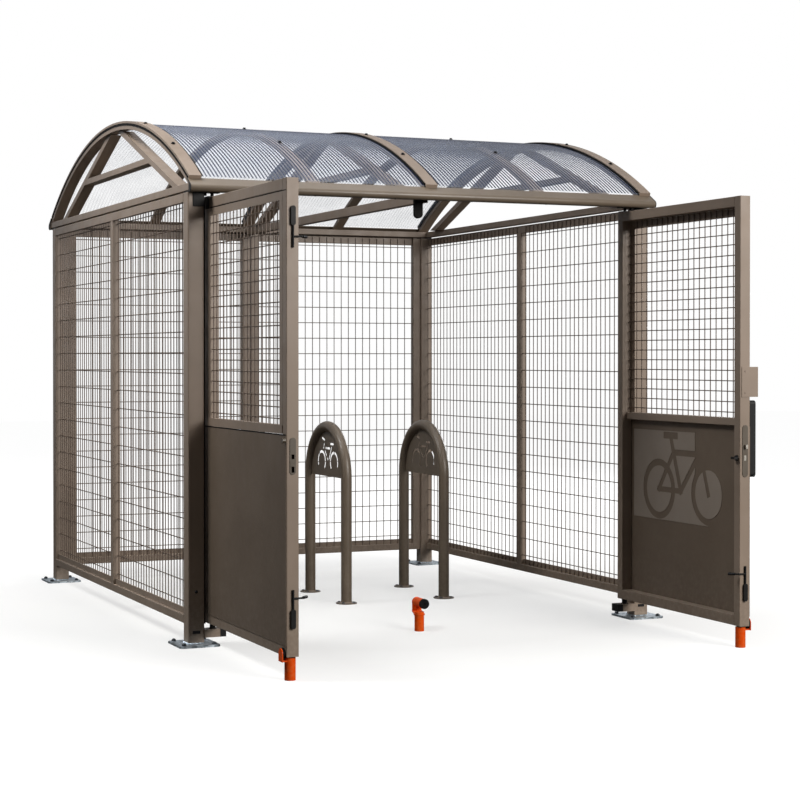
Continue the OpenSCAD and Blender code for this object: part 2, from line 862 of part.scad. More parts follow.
// Openings in the stile's end behind the lock or the strike plate
module bolt_window(z, h, w) {
    block([pivot_inset - w / 2, -door_l - over, z - h / 2],
        [pivot_inset + w / 2, tube_wall + over - door_l, z + h / 2]);
}

module left_door_frame() {
    color(paint) left_leaf() leaf_frame(true) {
        bolt_window(latch_z, latch_h + 4, latch_w + 4);
        bolt_window(dead_z, dead_h + 4, dead_w + 4);
    }
}

module right_door_frame() {
    color(paint) right_leaf() leaf_frame(false) {
        bolt_window(lock_z, case_h + 2, case_t + 1);
        rod_x(-over, pivot_inset, -turn_u, dead_z, turn_bore + 2);
        rod_x(pivot_inset, door_t + over, -turn_u, dead_z, cylinder_d + 2 * seat_gap);
    }
}

// Door mesh between the strips' inner faces and the tubes
module leaf_mesh() {
    u0 = stile_w + 2 * weld_gap;
    u1 = door_l - stile_w - 2 * weld_gap;
    z0 = mid_rail_top + seat_gap;
    z1 = door_rail_under - seat_gap;
    for (u = [u0 + window_strip_w + wire_x / 2:wire_x:u1 - window_strip_w])
        rod_z(door_upright_v, -u, z0, z1, wire_d);
    for (z = [z0 + door_wire_z / 2:door_wire_z:z1 - window_strip_w]) rod_y(door_level_v, -u1, -u0, z, wire_d);
}

module left_door_mesh() {
    color(paint) left_leaf() leaf_mesh();
}

module right_door_mesh() {
    color(paint) right_leaf() leaf_mesh();
}

module leaf_sheet() {
    block([sheet_v, 2 - door_l, sheet_low], [sheet_out, -2, mid_rail_z - 2]);
}

module left_door_sheet() {
    color(paint) left_leaf() leaf_sheet();
}

module right_door_sheet() {
    color(paint) right_leaf() difference() {
        leaf_sheet();
        rod_x(sheet_v - over, sheet_out + over, -turn_u, dead_z, cylinder_d + 2 * seat_gap);
    }
}

// Bicycle: two wheels and a diamond frame, drawn one unit wide about its middle
module bar_2d(p, q, w, cut = 0) {
    d = q - p;
    translate(p) rotate(atan2(d[1], d[0])) translate([cut - w / 2, -w / 2]) square([norm(d) + w - 2 * cut, w]);
}

module wheel_2d(x, y, r, w, open) {
    difference() {
        translate([x, y]) circle(r);
        translate([x, y]) circle(r - w);
        if (open) {
            translate([x - r, y - 2 * r]) square(2 * r);
            for (a = [30, 150]) translate([x, y]) rotate(a) translate([0, -w / 2]) square([2 * r, w]);
        }
    }
}

// As a cut-out in a hoop it is open: half wheels and gaps in its lines leave the plate in one piece
module bicycle_2d(size, open) {
    cut = open ? 0.045 : 0;
    hub = [-0.3, -0.1];
    crank = [-0.03, -0.1];
    seat_lug = [-0.12, 0.15];
    head_lug = [0.19, 0.15];
    scale([size, size]) {
        for (x = [-0.3, 0.3]) wheel_2d(x, -0.1, 0.2, 0.045, open);
        bar_2d(hub, crank, 0.036, cut);
        bar_2d(hub, seat_lug, 0.036, cut);
        bar_2d(crank, [-0.15, 0.24], 0.04, cut);
        if (!open) bar_2d(crank, head_lug, 0.04);
        bar_2d(seat_lug, head_lug, 0.04, cut);
        bar_2d([0.3, -0.1], [0.17, 0.26], 0.036, cut);
        bar_2d([-0.22, 0.26], [-0.09, 0.26], 0.045);
        bar_2d([0.2, 0.3], [0.28, 0.31], 0.036);
    }
}

// Field of the sign: a rectangle with a step in front, and the front wheel's disc beside it
module sign_field_2d() {
    wheel = [0.3 * sign_w, -0.1 * sign_w];
    translate([-field_rear, -field_low]) square([field_rear + field_front, field_low + field_high]);
    translate([0, -field_low]) square([wheel[0], field_low + wheel[1]]);
    translate(wheel) circle(0.18 * sign_w);
}

// The bicycle is cut out of the field and shows the door sheet behind
module cycle_sign() {
    color([0.42, 0.4, 0.38]) right_leaf()
        translate([sheet_v - sign_t - weld_gap, -sign_u, sign_z]) rotate([90, 0, 90])
            linear_extrude(sign_t) mirror([1, 0]) difference() {
                sign_field_2d();
                bicycle_2d(sign_w, false);
            }
}

// Bottom pin with its collar, and top pin
module leaf_pins() {
    u = pivot_inset;
    rod_z(u, -u, bracket_top - bracket_h + 2, door_low, pin_d);
    rod_z(u, -u, bracket_top + washer_t + seat_gap, door_low, collar_d);
}

module left_pivot_pins() {
    color(dark) left_leaf() leaf_pins();
}

module right_pivot_pins() {
    color(dark) right_leaf() leaf_pins();
}

module pivot_block() {
    block([1, -72, door_top], [sheet_out + 3, -4, door_top + 5]);
    block([sheet_out, -72, door_top - pivot_block_h], [sheet_out + 3, -4, door_top + 5]);
    rod_z(pivot_inset, -pivot_inset, door_top, tie_z - 1, pin_d);
}

module left_pivot_block() {
    color(dark) left_leaf() pivot_block();
}

module right_pivot_block() {
    color(dark) right_leaf() pivot_block();
}

// Guide: an oval housing on the door's end face, bored for the stem
module bolt_guide(z0) {
    v = pivot_inset;
    r = guide_w / 2;
    y0 = -door_l - guide_depth - weld_gap;
    difference() {
        along_y(y0, guide_depth) {
            translate([v - r, z0 + r]) square([guide_w, guide_l - guide_w]);
            for (z = [z0 + r, z0 + guide_l - r]) translate([v, z]) circle(r);
        }
        rod_z(v, -door_l - stem_off - 0.4, z0 - over, z0 + guide_l + over, stem_d + 0.6);
    }
}

module left_bolt_guides() {
    color(dark) left_leaf() {
        bolt_guide(upper_guide_z);
        bolt_guide(lower_guide_z - guide_l);
    }
}

module right_bolt_guide() {
    color(dark) right_leaf() bolt_guide(lower_guide_z - guide_l);
}

// Shoot bolt: inner rod, link through the slot, outer stem and cranked arm
module shoot_bolt(z_tip, z_tail, link_z, arm_z, stem_a, stem_b) {
    v = pivot_inset;
    stem_y = -door_l - stem_off - 0.4;
    rod_z(v, -bolt_u, min(z_tip, z_tail), max(z_tip, z_tail), bolt_d);
    rod_y(v, stem_y, -bolt_u, link_z, link_d);
    rod_z(v, stem_y, min(stem_a, stem_b), max(stem_a, stem_b), stem_d);
    rod_x(v - arm_reach, v, stem_y, arm_z, arm_d);
    translate([v - arm_reach, stem_y, arm_z]) {
        sphere(d = arm_d + 1.6);
        rotate([0, -90, -45]) cylinder(d = arm_d, h = 16);
    }
}

module shoot_grip(arm_z) {
    stem_y = -door_l - stem_off - 0.4;
    translate([pivot_inset - arm_reach, stem_y, arm_z]) rotate([0, -90, -45])
        translate([0, 0, 16]) cylinder(d = grip_d, h = grip_l);
}

module left_upper_bolt() {
    color(dark) left_leaf()
        shoot_bolt(door_top - bolt_tip, upper_link_z - 14, upper_link_z, upper_arm_z,
            upper_arm_z - 47, upper_guide_z + 9);
}

module left_upper_grip() {
    color(dark) left_leaf() shoot_grip(upper_arm_z);
}

module lower_shoot_bolt() {
    shoot_bolt(door_low + bolt_tip, lower_link_z + 14, lower_link_z, lower_arm_z,
        lower_arm_z + 36, lower_guide_z - 9);
}

module left_lower_bolt() {
    color(dark) left_leaf() lower_shoot_bolt();
}

module left_lower_grip() {
    color(dark) left_leaf() shoot_grip(lower_arm_z);
}

module right_lower_bolt() {
    color(dark) right_leaf() lower_shoot_bolt();
}

module right_lower_grip() {
    color(dark) right_leaf() shoot_grip(lower_arm_z);
}

// Oval-ended plate on a door's end face
module end_plate(z, h, w) {
    along_y(-door_l - face_t - weld_gap, face_t) {
        translate([pivot_inset - w / 2, z - h / 2 + w / 2]) square([w, h - w]);
        for (k = [-1, 1]) translate([pivot_inset, z + k * (h - w) / 2]) circle(w / 2);
    }
}

module plate_hole(z, w, h) {
    block([pivot_inset - w / 2, -door_l - face_t - over, z - h / 2],
        [pivot_inset + w / 2, case_wall + over - door_l, z + h / 2]);
}

module strike_plate() {
    color(dark) left_leaf() {
        difference() {
            end_plate((latch_z + dead_z) / 2 + strike_up, strike_h, strike_w);
            plate_hole(latch_z, latch_w + 2, latch_h + 2);
            plate_hole(dead_z, dead_w + 2, dead_h + 2);
        }
        translate([sheet_out, -door_l + 12, lock_z + 90]) rotate([0, 90, 0]) cylinder(d = 22, h = 14);
    }
}

// Lock: a case inside the stile behind a long faceplate, with its cylinder to the outside
module lock_case() {
    c = case_wall;
    v0 = pivot_inset - case_t / 2;
    v1 = pivot_inset + case_t / 2;
    u1 = -door_l - weld_gap;
    color(zinc) right_leaf() {
        difference() {
            union() {
                end_plate(lock_z, face_h, face_w);
                block([v0, u1, lock_z - case_h / 2], [v1, case_depth - door_l, lock_z + case_h / 2]);
                rod_x(v1 - over, sheet_out + 5, -turn_u, dead_z, cylinder_d);
            }
            block([v0 + c, u1 + c, lock_z - case_h / 2 + c],
                [v1 - c, case_depth - c - door_l, lock_z + case_h / 2 - c]);
            plate_hole(latch_z, latch_w + 2 * play, latch_h + 2 * play);
            plate_hole(dead_z, dead_w + 2 * play, dead_h + 2 * play);
            rod_x(v0 - over, v0 + c + over, -turn_u, dead_z, turn_bore);
            rod_x(v1 - c - over, sheet_out + 5 + over, -turn_u, dead_z, plug_d + 2 * turn_clear);
        }
    }
}

module latch_bolt() {
    tip = door_l + latch_out;
    tail = door_l - 10;
    v0 = pivot_inset - latch_w / 2;
    color([0.75, 0.75, 0.77]) right_leaf()
        translate([v0, -tip, latch_z - latch_h / 2]) cube([latch_w, tip - tail, latch_h]);
}

module dead_bolt() {
    tip = door_l + face_t;
    tail = door_l - case_depth + case_wall + play;
    v0 = pivot_inset - dead_w / 2;
    color([0.75, 0.75, 0.77]) right_leaf()
        translate([v0, -tip, dead_z - dead_h / 2]) cube([dead_w, tip - tail, dead_h]);
}

// Thumb turn: a knob on the inner face and its spindle into the case
module thumb_turn() {
    color(dark) right_leaf() translate([0, -turn_u, dead_z]) rotate([0, 90, 0]) {
        translate([0, 0, -8]) cylinder(d = 26, h = 8 - seat_gap);
        translate([-5, -15, -26]) cube([10, 30, 19]);
        translate([0, 0, -8]) cylinder(d = turn_d, h = 8 + pivot_inset - case_t / 2 + case_wall);
    }
}

// Key plug in the cylinder's outer end, with the key's slot
module key_plug() {
    z0 = pivot_inset + case_t / 2 - case_wall;
    z1 = sheet_out + 6;
    color([0.75, 0.75, 0.77]) right_leaf() translate([0, -turn_u, dead_z]) rotate([0, 90, 0]) difference() {
        translate([0, 0, z0]) cylinder(d = plug_d, h = z1 - z0);
        translate([-4.5, -1, z1 - 14]) cube([9, 2, 14 + over]);
    }
}

module guard_plate() {
    u0 = -door_l - face_t - weld_gap;
    screw_in = 20;
    color(paint) right_leaf() {
        block([guard_in, u0, guard_z], [guard_in + guard_w, -door_l - weld_gap, guard_z + guard_h]);
        for (z = [guard_z + screw_in, guard_z + guard_h - screw_in]) rod_y(pivot_inset, u0 - 2.5, u0, z, 9);
    }
}

// Pull handle: a tall oval block on the outer face with a finger recess towards the hinge
module pull_handle() {
    w = 32;
    deep = 32;
    u = door_l - 3 - w / 2;
    color(dark) right_leaf() difference() {
        translate([sheet_out, -u, pull_z]) rotate([90, 0, 90]) linear_extrude(deep) {
            square([w, pull_l - w], center = true);
            for (k = [-1, 1]) translate([0, k * (pull_l - w) / 2]) circle(w / 2);
        }
        block([sheet_out - over, w / 4 - u, pull_z - pull_l / 2 + 30],
            [sheet_out + deep - 9, w - u, pull_z + pull_l / 2 - 30]);
        rod_x(0, sheet_out + deep + over, -turn_u, dead_z, cylinder_d + 2);
    }
}

// Side stop: a tube upright that takes the shoot bolt, a strip and a round-topped plate with a rubber face
module side_stop() {
    x0 = side_face_x + rubber_t;
    w = rubber_d / 2 - 1;
    z0 = stop_plate_top - stop_plate_t;
    difference() {
        union() {
            rod_z(stop_x, -stop_y, 0, stop_top, stop_d);
            block([stop_x, -stop_y - stop_d / 3, z0], [x0 + stop_back_t, stop_d / 3 - stop_y, stop_plate_top]);
            block([x0, -stop_y - w, z0], [x0 + stop_back_t, w - stop_y, side_stop_z]);
            rod_x(x0, x0 + stop_back_t, -stop_y, side_stop_z, 2 * w);
        }
        rod_z(stop_x, -stop_y, -over, stop_top + over, stop_bore);
    }
}

// Centre stop: an upright under the closed left door's bolt, and a bent leg behind it with a rubber face
module centre_stop() {
    leg_y = centre_face_y + rubber_t + stop_head_l;
    run = [leg_x - closed_bolt_x, leg_y + pivot_y];
    z0 = stop_plate_top - stop_plate_t;
    difference() {
        union() {
            rod_z(closed_bolt_x, -pivot_y, 0, stop_top, stop_d);
            rod_z(closed_bolt_x, -pivot_y, z0, stop_plate_top, stop_d + 8);
            rod_z(leg_x, leg_y, z0, stop_plate_top, stop_d + 2);
            translate([closed_bolt_x, -pivot_y, z0]) rotate([0, 0, atan2(run[1], run[0])])
                translate([0, -stop_d / 2 - 1, 0]) cube([norm(run), stop_d + 2, stop_plate_t]);
            rod_z(leg_x, leg_y, z0, stop_z, stop_d);
            translate([leg_x, leg_y, stop_z]) sphere(d = stop_d + 2);
            rod_y(leg_x, centre_face_y + rubber_t, leg_y, stop_z, stop_d);
        }
        rod_z(closed_bolt_x, -pivot_y, -over, stop_top + over, stop_bore);
        rod_z(leg_x, leg_y, z0 - over, stop_z, stop_bore);
        rod_y(leg_x, centre_face_y + rubber_t + stop_back_t, leg_y, stop_z, stop_bore);
    }
}

module rubber_face() {
    difference() {
        rotate([0, 90, 0]) cylinder(d = rubber_d, h = rubber_t);
        translate([-over, 0, 0]) rotate([0, 90, 0]) cylinder(d = 10, h = 5 + over);
    }
}

module floor_stops() {
    color(orange) place() {
        both_sides() side_stop();
        centre_stop();
    }
}

module stop_rubbers() {
    color(dark) place() {
        both_sides() translate([side_face_x, -stop_y, side_stop_z]) rubber_face();
        translate([leg_x, centre_face_y, stop_z]) rotate([0, 0, 90]) rubber_face();
    }
}

// Cycle hoop: a bent tube on two floor flanges, with an in-fill plate under the bend
module hoop_solid(d) {
    r = hoop_w / 2;
    bend_z = hoop_h - hoop_d / 2 - r;
    for (y = [-r, r]) rod_z(0, y, flange_t, bend_z, d);
    translate([0, 0, bend_z]) rotate([0, -90, 0]) rotate([0, 0, -90])
        rotate_extrude(angle = 180, $fn = 96) translate([r, 0]) circle(d = d);
}

module infill_plate() {
    r = (hoop_w - hoop_d) / 2 + 3;
    bend_z = hoop_h - hoop_d / 2 - hoop_w / 2;
    along_x(-infill_t / 2, infill_t) difference() {
        translate([0, bend_z]) intersection() {
            circle(r, $fn = 96);
            translate([-r, 0]) square([2 * r, r]);
        }
        translate([0, bend_z + 0.42 * r]) bicycle_2d(1.35 * r, true);
    }
}

module floor_flange() {
    difference() {
        cylinder(d = flange_d, h = flange_t);
        for (a = [45:90:315]) rotate(a)
            translate([(flange_d + hoop_d) / 4, 0, -over]) cylinder(d = 11, h = flange_t + 2 * over);
    }
}

module cycle_hoops() {
    color(paint) place() for (i = [-1:1]) translate([i * hoop_pitch, 0, 0]) {
        difference() {
            union() {
                hoop_solid(hoop_d);
                infill_plate();
            }
            hoop_solid(hoop_d - 2 * hoop_wall);
        }
        for (y = [-1, 1]) translate([0, y * hoop_w / 2, 0]) floor_flange();
    }
}

corner_posts();
base_plates();
post_pads();
side_tie_beams();
middle_tie_beam();
front_eave_beam();
rear_eave_beam();
gutters();
gutter_end_caps();
left_truss();
middle_truss();
right_truss();
gable_arches();
inner_arches();
cover_bands();
left_roof_sheet();
right_roof_sheet();
roof_bolts();
left_wall_frame();
right_wall_frame();
rear_wall_frames();
left_wall_mesh();
right_wall_mesh();
rear_wall_mesh();
pivot_brackets();
bracket_caps();
pivot_washers();
pivot_plates();
post_cover_plates();
head_stop();
left_door_frame();
left_door_mesh();
left_door_sheet();
left_pivot_pins();
left_pivot_block();
left_bolt_guides();
strike_plate();
left_upper_bolt();
left_upper_grip();
left_lower_bolt();
left_lower_grip();
right_door_frame();
right_door_mesh();
right_door_sheet();
cycle_sign();
right_pivot_pins();
right_pivot_block();
right_bolt_guide();
right_lower_bolt();
right_lower_grip();
lock_case();
guard_plate();
pull_handle();
latch_bolt();
dead_bolt();
thumb_turn();
key_plug();
floor_stops();
stop_rubbers();
cycle_hoops();
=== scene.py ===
# %% [markdown]
# # A walk-in mesh compound for cycles
# The real object is a welded steel cage under a barrel roof of clear corrugated sheet, with two doors that open
# outward. The exact solids come from the CAD frame. This lesson gives them their real finishes and adds the small
# things that a workshop adds last: anchors, screws, weld beads. Everything is in metres, in the frame's own axes.

# %% Load the frame
import math

import bmesh
import bpy
from mathutils import Matrix, Vector


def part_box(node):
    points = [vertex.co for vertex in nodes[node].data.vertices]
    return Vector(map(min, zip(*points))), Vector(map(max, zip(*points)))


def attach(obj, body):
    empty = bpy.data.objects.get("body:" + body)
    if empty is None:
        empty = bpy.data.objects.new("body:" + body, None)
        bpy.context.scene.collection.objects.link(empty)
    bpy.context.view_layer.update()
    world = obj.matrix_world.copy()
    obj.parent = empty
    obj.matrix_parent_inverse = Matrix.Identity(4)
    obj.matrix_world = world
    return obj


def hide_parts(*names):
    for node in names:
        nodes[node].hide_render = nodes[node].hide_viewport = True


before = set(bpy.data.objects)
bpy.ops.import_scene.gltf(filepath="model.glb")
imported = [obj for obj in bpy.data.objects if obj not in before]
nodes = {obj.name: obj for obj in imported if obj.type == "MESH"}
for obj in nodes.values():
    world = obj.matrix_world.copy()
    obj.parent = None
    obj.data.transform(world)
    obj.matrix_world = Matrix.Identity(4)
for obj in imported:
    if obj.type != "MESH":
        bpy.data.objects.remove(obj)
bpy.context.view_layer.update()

# %% [markdown]
# ## The camera
# The photograph was taken with a fairly long lens from about ten metres away, at chest height, to the left of the
# doorway. Its upright edges stay upright, so the camera is nearly level and a small lens shift does the framing
# instead of a tilt.

# %% Place the camera
FOCAL = 84.04
SENSOR = 36.0
CAMERA_PLACE = (-3.8498, -9.42695, 1.3774)
CAMERA_DOWN = 0.65
CAMERA_RIGHT = 23.366
CAMERA_SHIFT = -0.02805

lens = bpy.data.cameras.new("camera")
lens.lens = FOCAL
lens.sensor_width = SENSOR
lens.shift_y = CAMERA_SHIFT
lens.clip_start = 0.1
lens.clip_end = 200
camera = bpy.data.objects.new("camera", lens)
camera.location = CAMERA_PLACE
camera.rotation_euler = (math.radians(90 - CAMERA_DOWN), 0, math.radians(-CAMERA_RIGHT))
bpy.context.scene.collection.objects.link(camera)
bpy.context.scene.camera = camera
bpy.context.scene.view_settings.view_transform = "Standard"
print("camera", CAMERA_PLACE, "focal length", FOCAL, "mm")

# %% [markdown]
# ## Helpers for finishes
# A finish is a small tree of shader nodes. One function adds a node and fills its sockets, another turns a colour as
# a painter's chart gives it (sRGB hex) into the linear numbers that the renderer works in, and a third starts a new
# finish. Patterns use object coordinates. Every node object of the frame sits at the origin, so these are plain
# metres, and a pattern stays on its door when the door turns.

# %% Node helpers
MM = 0.001


def colour(code, alpha=1.0):
    parts = [int(code[i:i + 2], 16) / 255 for i in (1, 3, 5)]
    linear = [p / 12.92 if p <= 0.04045 else ((p + 0.055) / 1.055) ** 2.4 for p in parts]
    return (*linear, alpha)


def add(tree, kind, inputs=None, **settings):
    node = tree.nodes.new(kind)
    for key, value in settings.items():
        setattr(node, key, value)
    for key, value in (inputs or {}).items():
        socket = node.inputs[key]
        if isinstance(value, bpy.types.NodeSocket):
            tree.links.new(value, socket)
        else:
            socket.default_value = value
    return node


def new_finish(name, **fixed):
    finish = bpy.data.materials.new(name)
    finish.use_nodes = True
    tree = finish.node_tree
    shader = tree.nodes["Principled BSDF"]
    for key, value in fixed.items():
        shader.inputs[key.replace("_", " ")].default_value = value
    return finish, tree, shader


def spots(tree, size_mm, detail=2.0, stretch=(1, 1, 1)):
    """Soft cloudy noise whose spots are about size_mm wide."""
    place = add(tree, "ShaderNodeTexCoord").outputs["Object"]
    scaled = add(tree, "ShaderNodeMapping", {"Vector": place, "Scale": stretch}).outputs[0]
    return add(tree, "ShaderNodeTexNoise", {"Vector": scaled, "Scale": 1 / (size_mm * MM), "Detail": detail})


def spread(tree, value, low, high, out_low=0.0, out_high=1.0):
    """Stretch a value from low..high to out_low..out_high."""
    return add(tree, "ShaderNodeMapRange", {"Value": value, "From Min": low, "From Max": high,
                                            "To Min": out_low, "To Max": out_high}).outputs[0]


def blend_colour(tree, share, first, second):
    mix = add(tree, "ShaderNodeMix", data_type="RGBA")
    for socket, value in zip((mix.inputs[0], mix.inputs[6], mix.inputs[7]), (share, first, second)):
        if isinstance(value, bpy.types.NodeSocket):
            tree.links.new(value, socket)
        else:
            socket.default_value = value
    return mix.outputs[2]


def rough_skin(tree, shader, height, depth_mm, strength):
    bump = add(tree, "ShaderNodeBump", {"Height": height, "Distance": depth_mm * MM, "Strength": strength})
    tree.links.new(bump.outputs[0], shader.inputs["Normal"])


print("helpers ready; mid grey", [round(c, 3) for c in colour("#808080")])

# %% [markdown]
# ## Powder coat
# The frame is steel tube, phosphated and sprayed with polyester powder, then baked. The baked skin is satin, has a
# faint orange peel a few millimetres wide, and is a little dustier near the ground. The peel is drawn about twice as
# coarse as it is, so that it still shows at this distance. Corners, where powder pulls thin, catch a lighter line.
# The same colour reads differently on a flat sheet, on a bend and on a thin wire, so each has a darker copy of the
# coat of its own: painted shade.

# %% Powder coat finishes
EDGE_MM = 1.6
CLOUD_MM, SPECKLE_MM, SHEEN_MM = 260, 18, 70
DUST_TOP = 0.45


def powder_coat(name, deep, light, dust, peel_mm=3.0, gloss=0.42, peel=0.25, edges=True, shine=0.5):
    finish, tree, shader = new_finish(name)
    cloud = spread(tree, spots(tree, CLOUD_MM, 3.0).outputs[0], 0.3, 0.7)
    tone = blend_colour(tree, cloud, colour(deep), colour(light))
    place = add(tree, "ShaderNodeTexCoord").outputs["Object"]
    height = add(tree, "ShaderNodeSeparateXYZ", {0: place}).outputs[2]
    low = spread(tree, height, 0.0, DUST_TOP, 0.55, 0.0)
    speckle = spread(tree, spots(tree, SPECKLE_MM, 5.0).outputs[0], 0.42, 0.7)
    dusty = add(tree, "ShaderNodeMath", {0: low, 1: speckle}, operation="MULTIPLY", use_clamp=True).outputs[0]
    tone = blend_colour(tree, dusty, tone, colour(dust))
    if edges:
        rounded = add(tree, "ShaderNodeBevel", {"Radius": EDGE_MM * MM}, samples=4).outputs[0]
        flat = add(tree, "ShaderNodeNewGeometry").outputs["Normal"]
        same = add(tree, "ShaderNodeVectorMath", {0: rounded, 1: flat}, operation="DOT_PRODUCT").outputs["Value"]
        edge = spread(tree, same, 0.98, 0.8, 0.0, 0.35)
        tone = blend_colour(tree, edge, tone, colour(dust))
    tree.links.new(tone, shader.inputs["Base Color"])
    shader.inputs["Specular IOR Level"].default_value = shine
    sheen = spread(tree, spots(tree, SHEEN_MM, 3.0).outputs[0], 0.3, 0.7, gloss - 0.06, gloss + 0.08)
    tree.links.new(sheen, shader.inputs["Roughness"])
    rough_skin(tree, shader, spots(tree, peel_mm, 1.0).outputs[0], 0.12, peel)
    return finish


# Satin taupe: the frame's own colour, with a lighter line on every corner
taupe_coat = powder_coat("taupe_powder_coat_on_steel", "#7F7062", "#8A7A6C", "#A29484")
# Matt and deeper: a darker copy of the taupe, painted shade that makes the door sheets one dark, calm field below the
# mesh
sheet_coat_painted_shade = powder_coat("matt_taupe_coat_darkened_as_painted_shade_on_sheet", "#635649", "#6B5E51", "#82756A", gloss=0.5, shine=0.35)
# Glossier and darker: a darker copy of the taupe on the gutter nose and the hoops, painted shade; one bright line runs
# along each, and the rest falls into shade
bend_coat_painted_shade = powder_coat("glossy_taupe_coat_darkened_as_painted_shade_on_bends", "#64594C", "#6E6254", "#7A6F62", gloss=0.38)
# Dark: a darker copy of the taupe on the wires, painted shade, so that thin wires stay crisp against the white
wire_coat_painted_shade = powder_coat("dark_powder_coat_as_painted_shade_on_wire", "#5A4B40", "#66564A", "#807264", gloss=0.38, edges=False)
# Signal orange: the floor stops are the only strong colour
orange_coat = powder_coat("orange_powder_coat", "#DE4600", "#E65004", "#D8763E", gloss=0.36, shine=0.15)
# Near black, hardly shining: roof bolts, pivots, cover plates, shoot bolts and their guides
black_coat = powder_coat("black_powder_coat", "#0B0B0C", "#111112", "#242322", gloss=0.5, shine=0.2)
# Pale stone grey: the field that the bicycle is left out of. Its lighter tone is painted light: it stands in for the
# white that shows through the field's fine perforation
sign_field_painted_see_through_light = powder_coat("stone_grey_sign_field_painted_see_through_light", "#857A6F", "#8D8277", "#9C9186", gloss=0.5, edges=False)
print("powder coats:", taupe_coat.name, wire_coat_painted_shade.name, orange_coat.name, black_coat.name, sign_field_painted_see_through_light.name)

# %% [markdown]
# ## Hot dip galvanised steel
# The base plates were dipped in molten zinc. The zinc freezes in flat crystals, the spangle, ten to twenty
# millimetres across, each with its own brightness, and weathers to a blue grey.

# %% Galvanised finish
SPANGLE_MM, STAIN_MM = 14.0, 45
zinc, tree, shader = new_finish("hot_dip_galvanised_steel", Metallic=1.0)
place = add(tree, "ShaderNodeTexCoord").outputs["Object"]
crystal = add(tree, "ShaderNodeTexVoronoi", {"Vector": place, "Scale": 1 / (SPANGLE_MM * MM)}).outputs["Color"]
level = add(tree, "ShaderNodeSeparateColor", {0: crystal}).outputs[0]
zinc_tone = blend_colour(tree, level, colour("#87939C"), colour("#D2DCE4"))
stain = spread(tree, spots(tree, STAIN_MM, 4.0).outputs[0], 0.5, 0.75, 0.0, 0.4)
tree.links.new(blend_colour(tree, stain, zinc_tone, colour("#7C7C78")), shader.inputs["Base Color"])
tree.links.new(spread(tree, level, 0.0, 1.0, 0.34, 0.52), shader.inputs["Roughness"])
rough_skin(tree, shader, level, 0.05, 0.2)
print("galvanised:", zinc.name)

# %% [markdown]
# ## Clear corrugated sheet
# The roof is clear extruded sheet with a blue tint. The valleys let the white sky through, while each crest bends
# light aside and reads as a dark blue line. A true refracting plastic needs many rays and gives noise, so that dark
# line is painted shade: the crest gets a dark navy colour and a high alpha, and the rest a low see-through alpha.
# Both depend on the height within one corrugation: the distance from the arch's centre line says how high a point
# is. Only the outer side of a crest is painted dark, so that the roof looks light from below, as it does on the real
# one.

# %% Roof sheet finish
ARCH_LOW, ARCH_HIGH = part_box("gable_arches")
CLEAR_ALPHA, FLANK_ALPHA, CREST_ALPHA = 0.05, 0.07, 0.9
WAVE_TOP, CREST_MM = 0.0123, 3.2
HAZE_MM, SMEAR_MM, BUCKLE_MM = 220, 90, 40
half = (ARCH_HIGH.y - ARCH_LOW.y) / 2
rise = ARCH_HIGH.z - ARCH_LOW.z
ARCH_RADIUS = (half * half + rise * rise) / (2 * rise)
ARCH_CENTRE = Vector((0, (ARCH_HIGH.y + ARCH_LOW.y) / 2, ARCH_HIGH.z - ARCH_RADIUS))
SHEET_TOP = ARCH_RADIUS + WAVE_TOP

clear_sheet, tree, shader = new_finish("clear_corrugated_polycarbonate_with_painted_crest_shade", IOR=1.58)
surface = add(tree, "ShaderNodeNewGeometry").outputs
parts = add(tree, "ShaderNodeSeparateXYZ", {0: surface["True Normal"]}).outputs
steep = add(tree, "ShaderNodeMath", {0: parts[0]}, operation="ABSOLUTE").outputs[0]
front = add(tree, "ShaderNodeMath", {0: 1.0, 1: surface["Backfacing"]}, operation="SUBTRACT").outputs[0]
upper = add(tree, "ShaderNodeMath", {0: parts[2], 1: 0.0}, operation="GREATER_THAN").outputs[0]
outer = add(tree, "ShaderNodeMath", {0: front, 1: upper}, operation="MULTIPLY").outputs[0]
place = add(tree, "ShaderNodeTexCoord").outputs["Object"]
offset = add(tree, "ShaderNodeVectorMath", {0: place, 1: ARCH_CENTRE}, operation="SUBTRACT").outputs[0]
flat = add(tree, "ShaderNodeVectorMath", {0: offset, 1: (0, 1, 1)}, operation="MULTIPLY").outputs[0]
height = add(tree, "ShaderNodeVectorMath", {0: flat}, operation="LENGTH").outputs["Value"]
high = spread(tree, height, SHEET_TOP - CREST_MM * MM, SHEET_TOP - 0.6 * CREST_MM * MM)
# The outer crest is painted dark navy: painted shade for the light that the crest bends aside.
painted_crest_shade = add(tree, "ShaderNodeMath", {0: high, 1: outer}, operation="MULTIPLY").outputs[0]
tree.links.new(blend_colour(tree, painted_crest_shade, colour("#DCE6F6"), colour("#101D42")), shader.inputs["Base Color"])
haze = spread(tree, spots(tree, HAZE_MM, 3.0).outputs[0], 0.3, 0.7, CLEAR_ALPHA - 0.03, CLEAR_ALPHA + 0.03)
bent = spread(tree, steep, 0.3, 0.85, 0.0, FLANK_ALPHA)
thin = add(tree, "ShaderNodeMath", {0: haze, 1: bent}, operation="ADD").outputs[0]
solid = add(tree, "ShaderNodeMix", {0: painted_crest_shade, 2: thin, 3: CREST_ALPHA}).outputs[0]
tree.links.new(solid, shader.inputs["Alpha"])
tree.links.new(spread(tree, spots(tree, SMEAR_MM, 3.0).outputs[0], 0.3, 0.7, 0.08, 0.2), shader.inputs["Roughness"])
rough_skin(tree, shader, spots(tree, BUCKLE_MM, 2.0).outputs[0], 0.3, 0.15)
print("arch radius", round(ARCH_RADIUS, 4), "centre", [round(c, 4) for c in ARCH_CENTRE])

# %% [markdown]
# ## Moulded nylon, rubber and brushed stainless steel
# Grips, caps and the pull handle are injection moulded nylon with a fine spark-eroded grain. The buffers are moulded
# rubber, duller and softer in its highlights. The lock parts are stainless steel, brushed along their length.

# %% Small-part finishes
TINT_MM, WEAR_MM = 35, 9


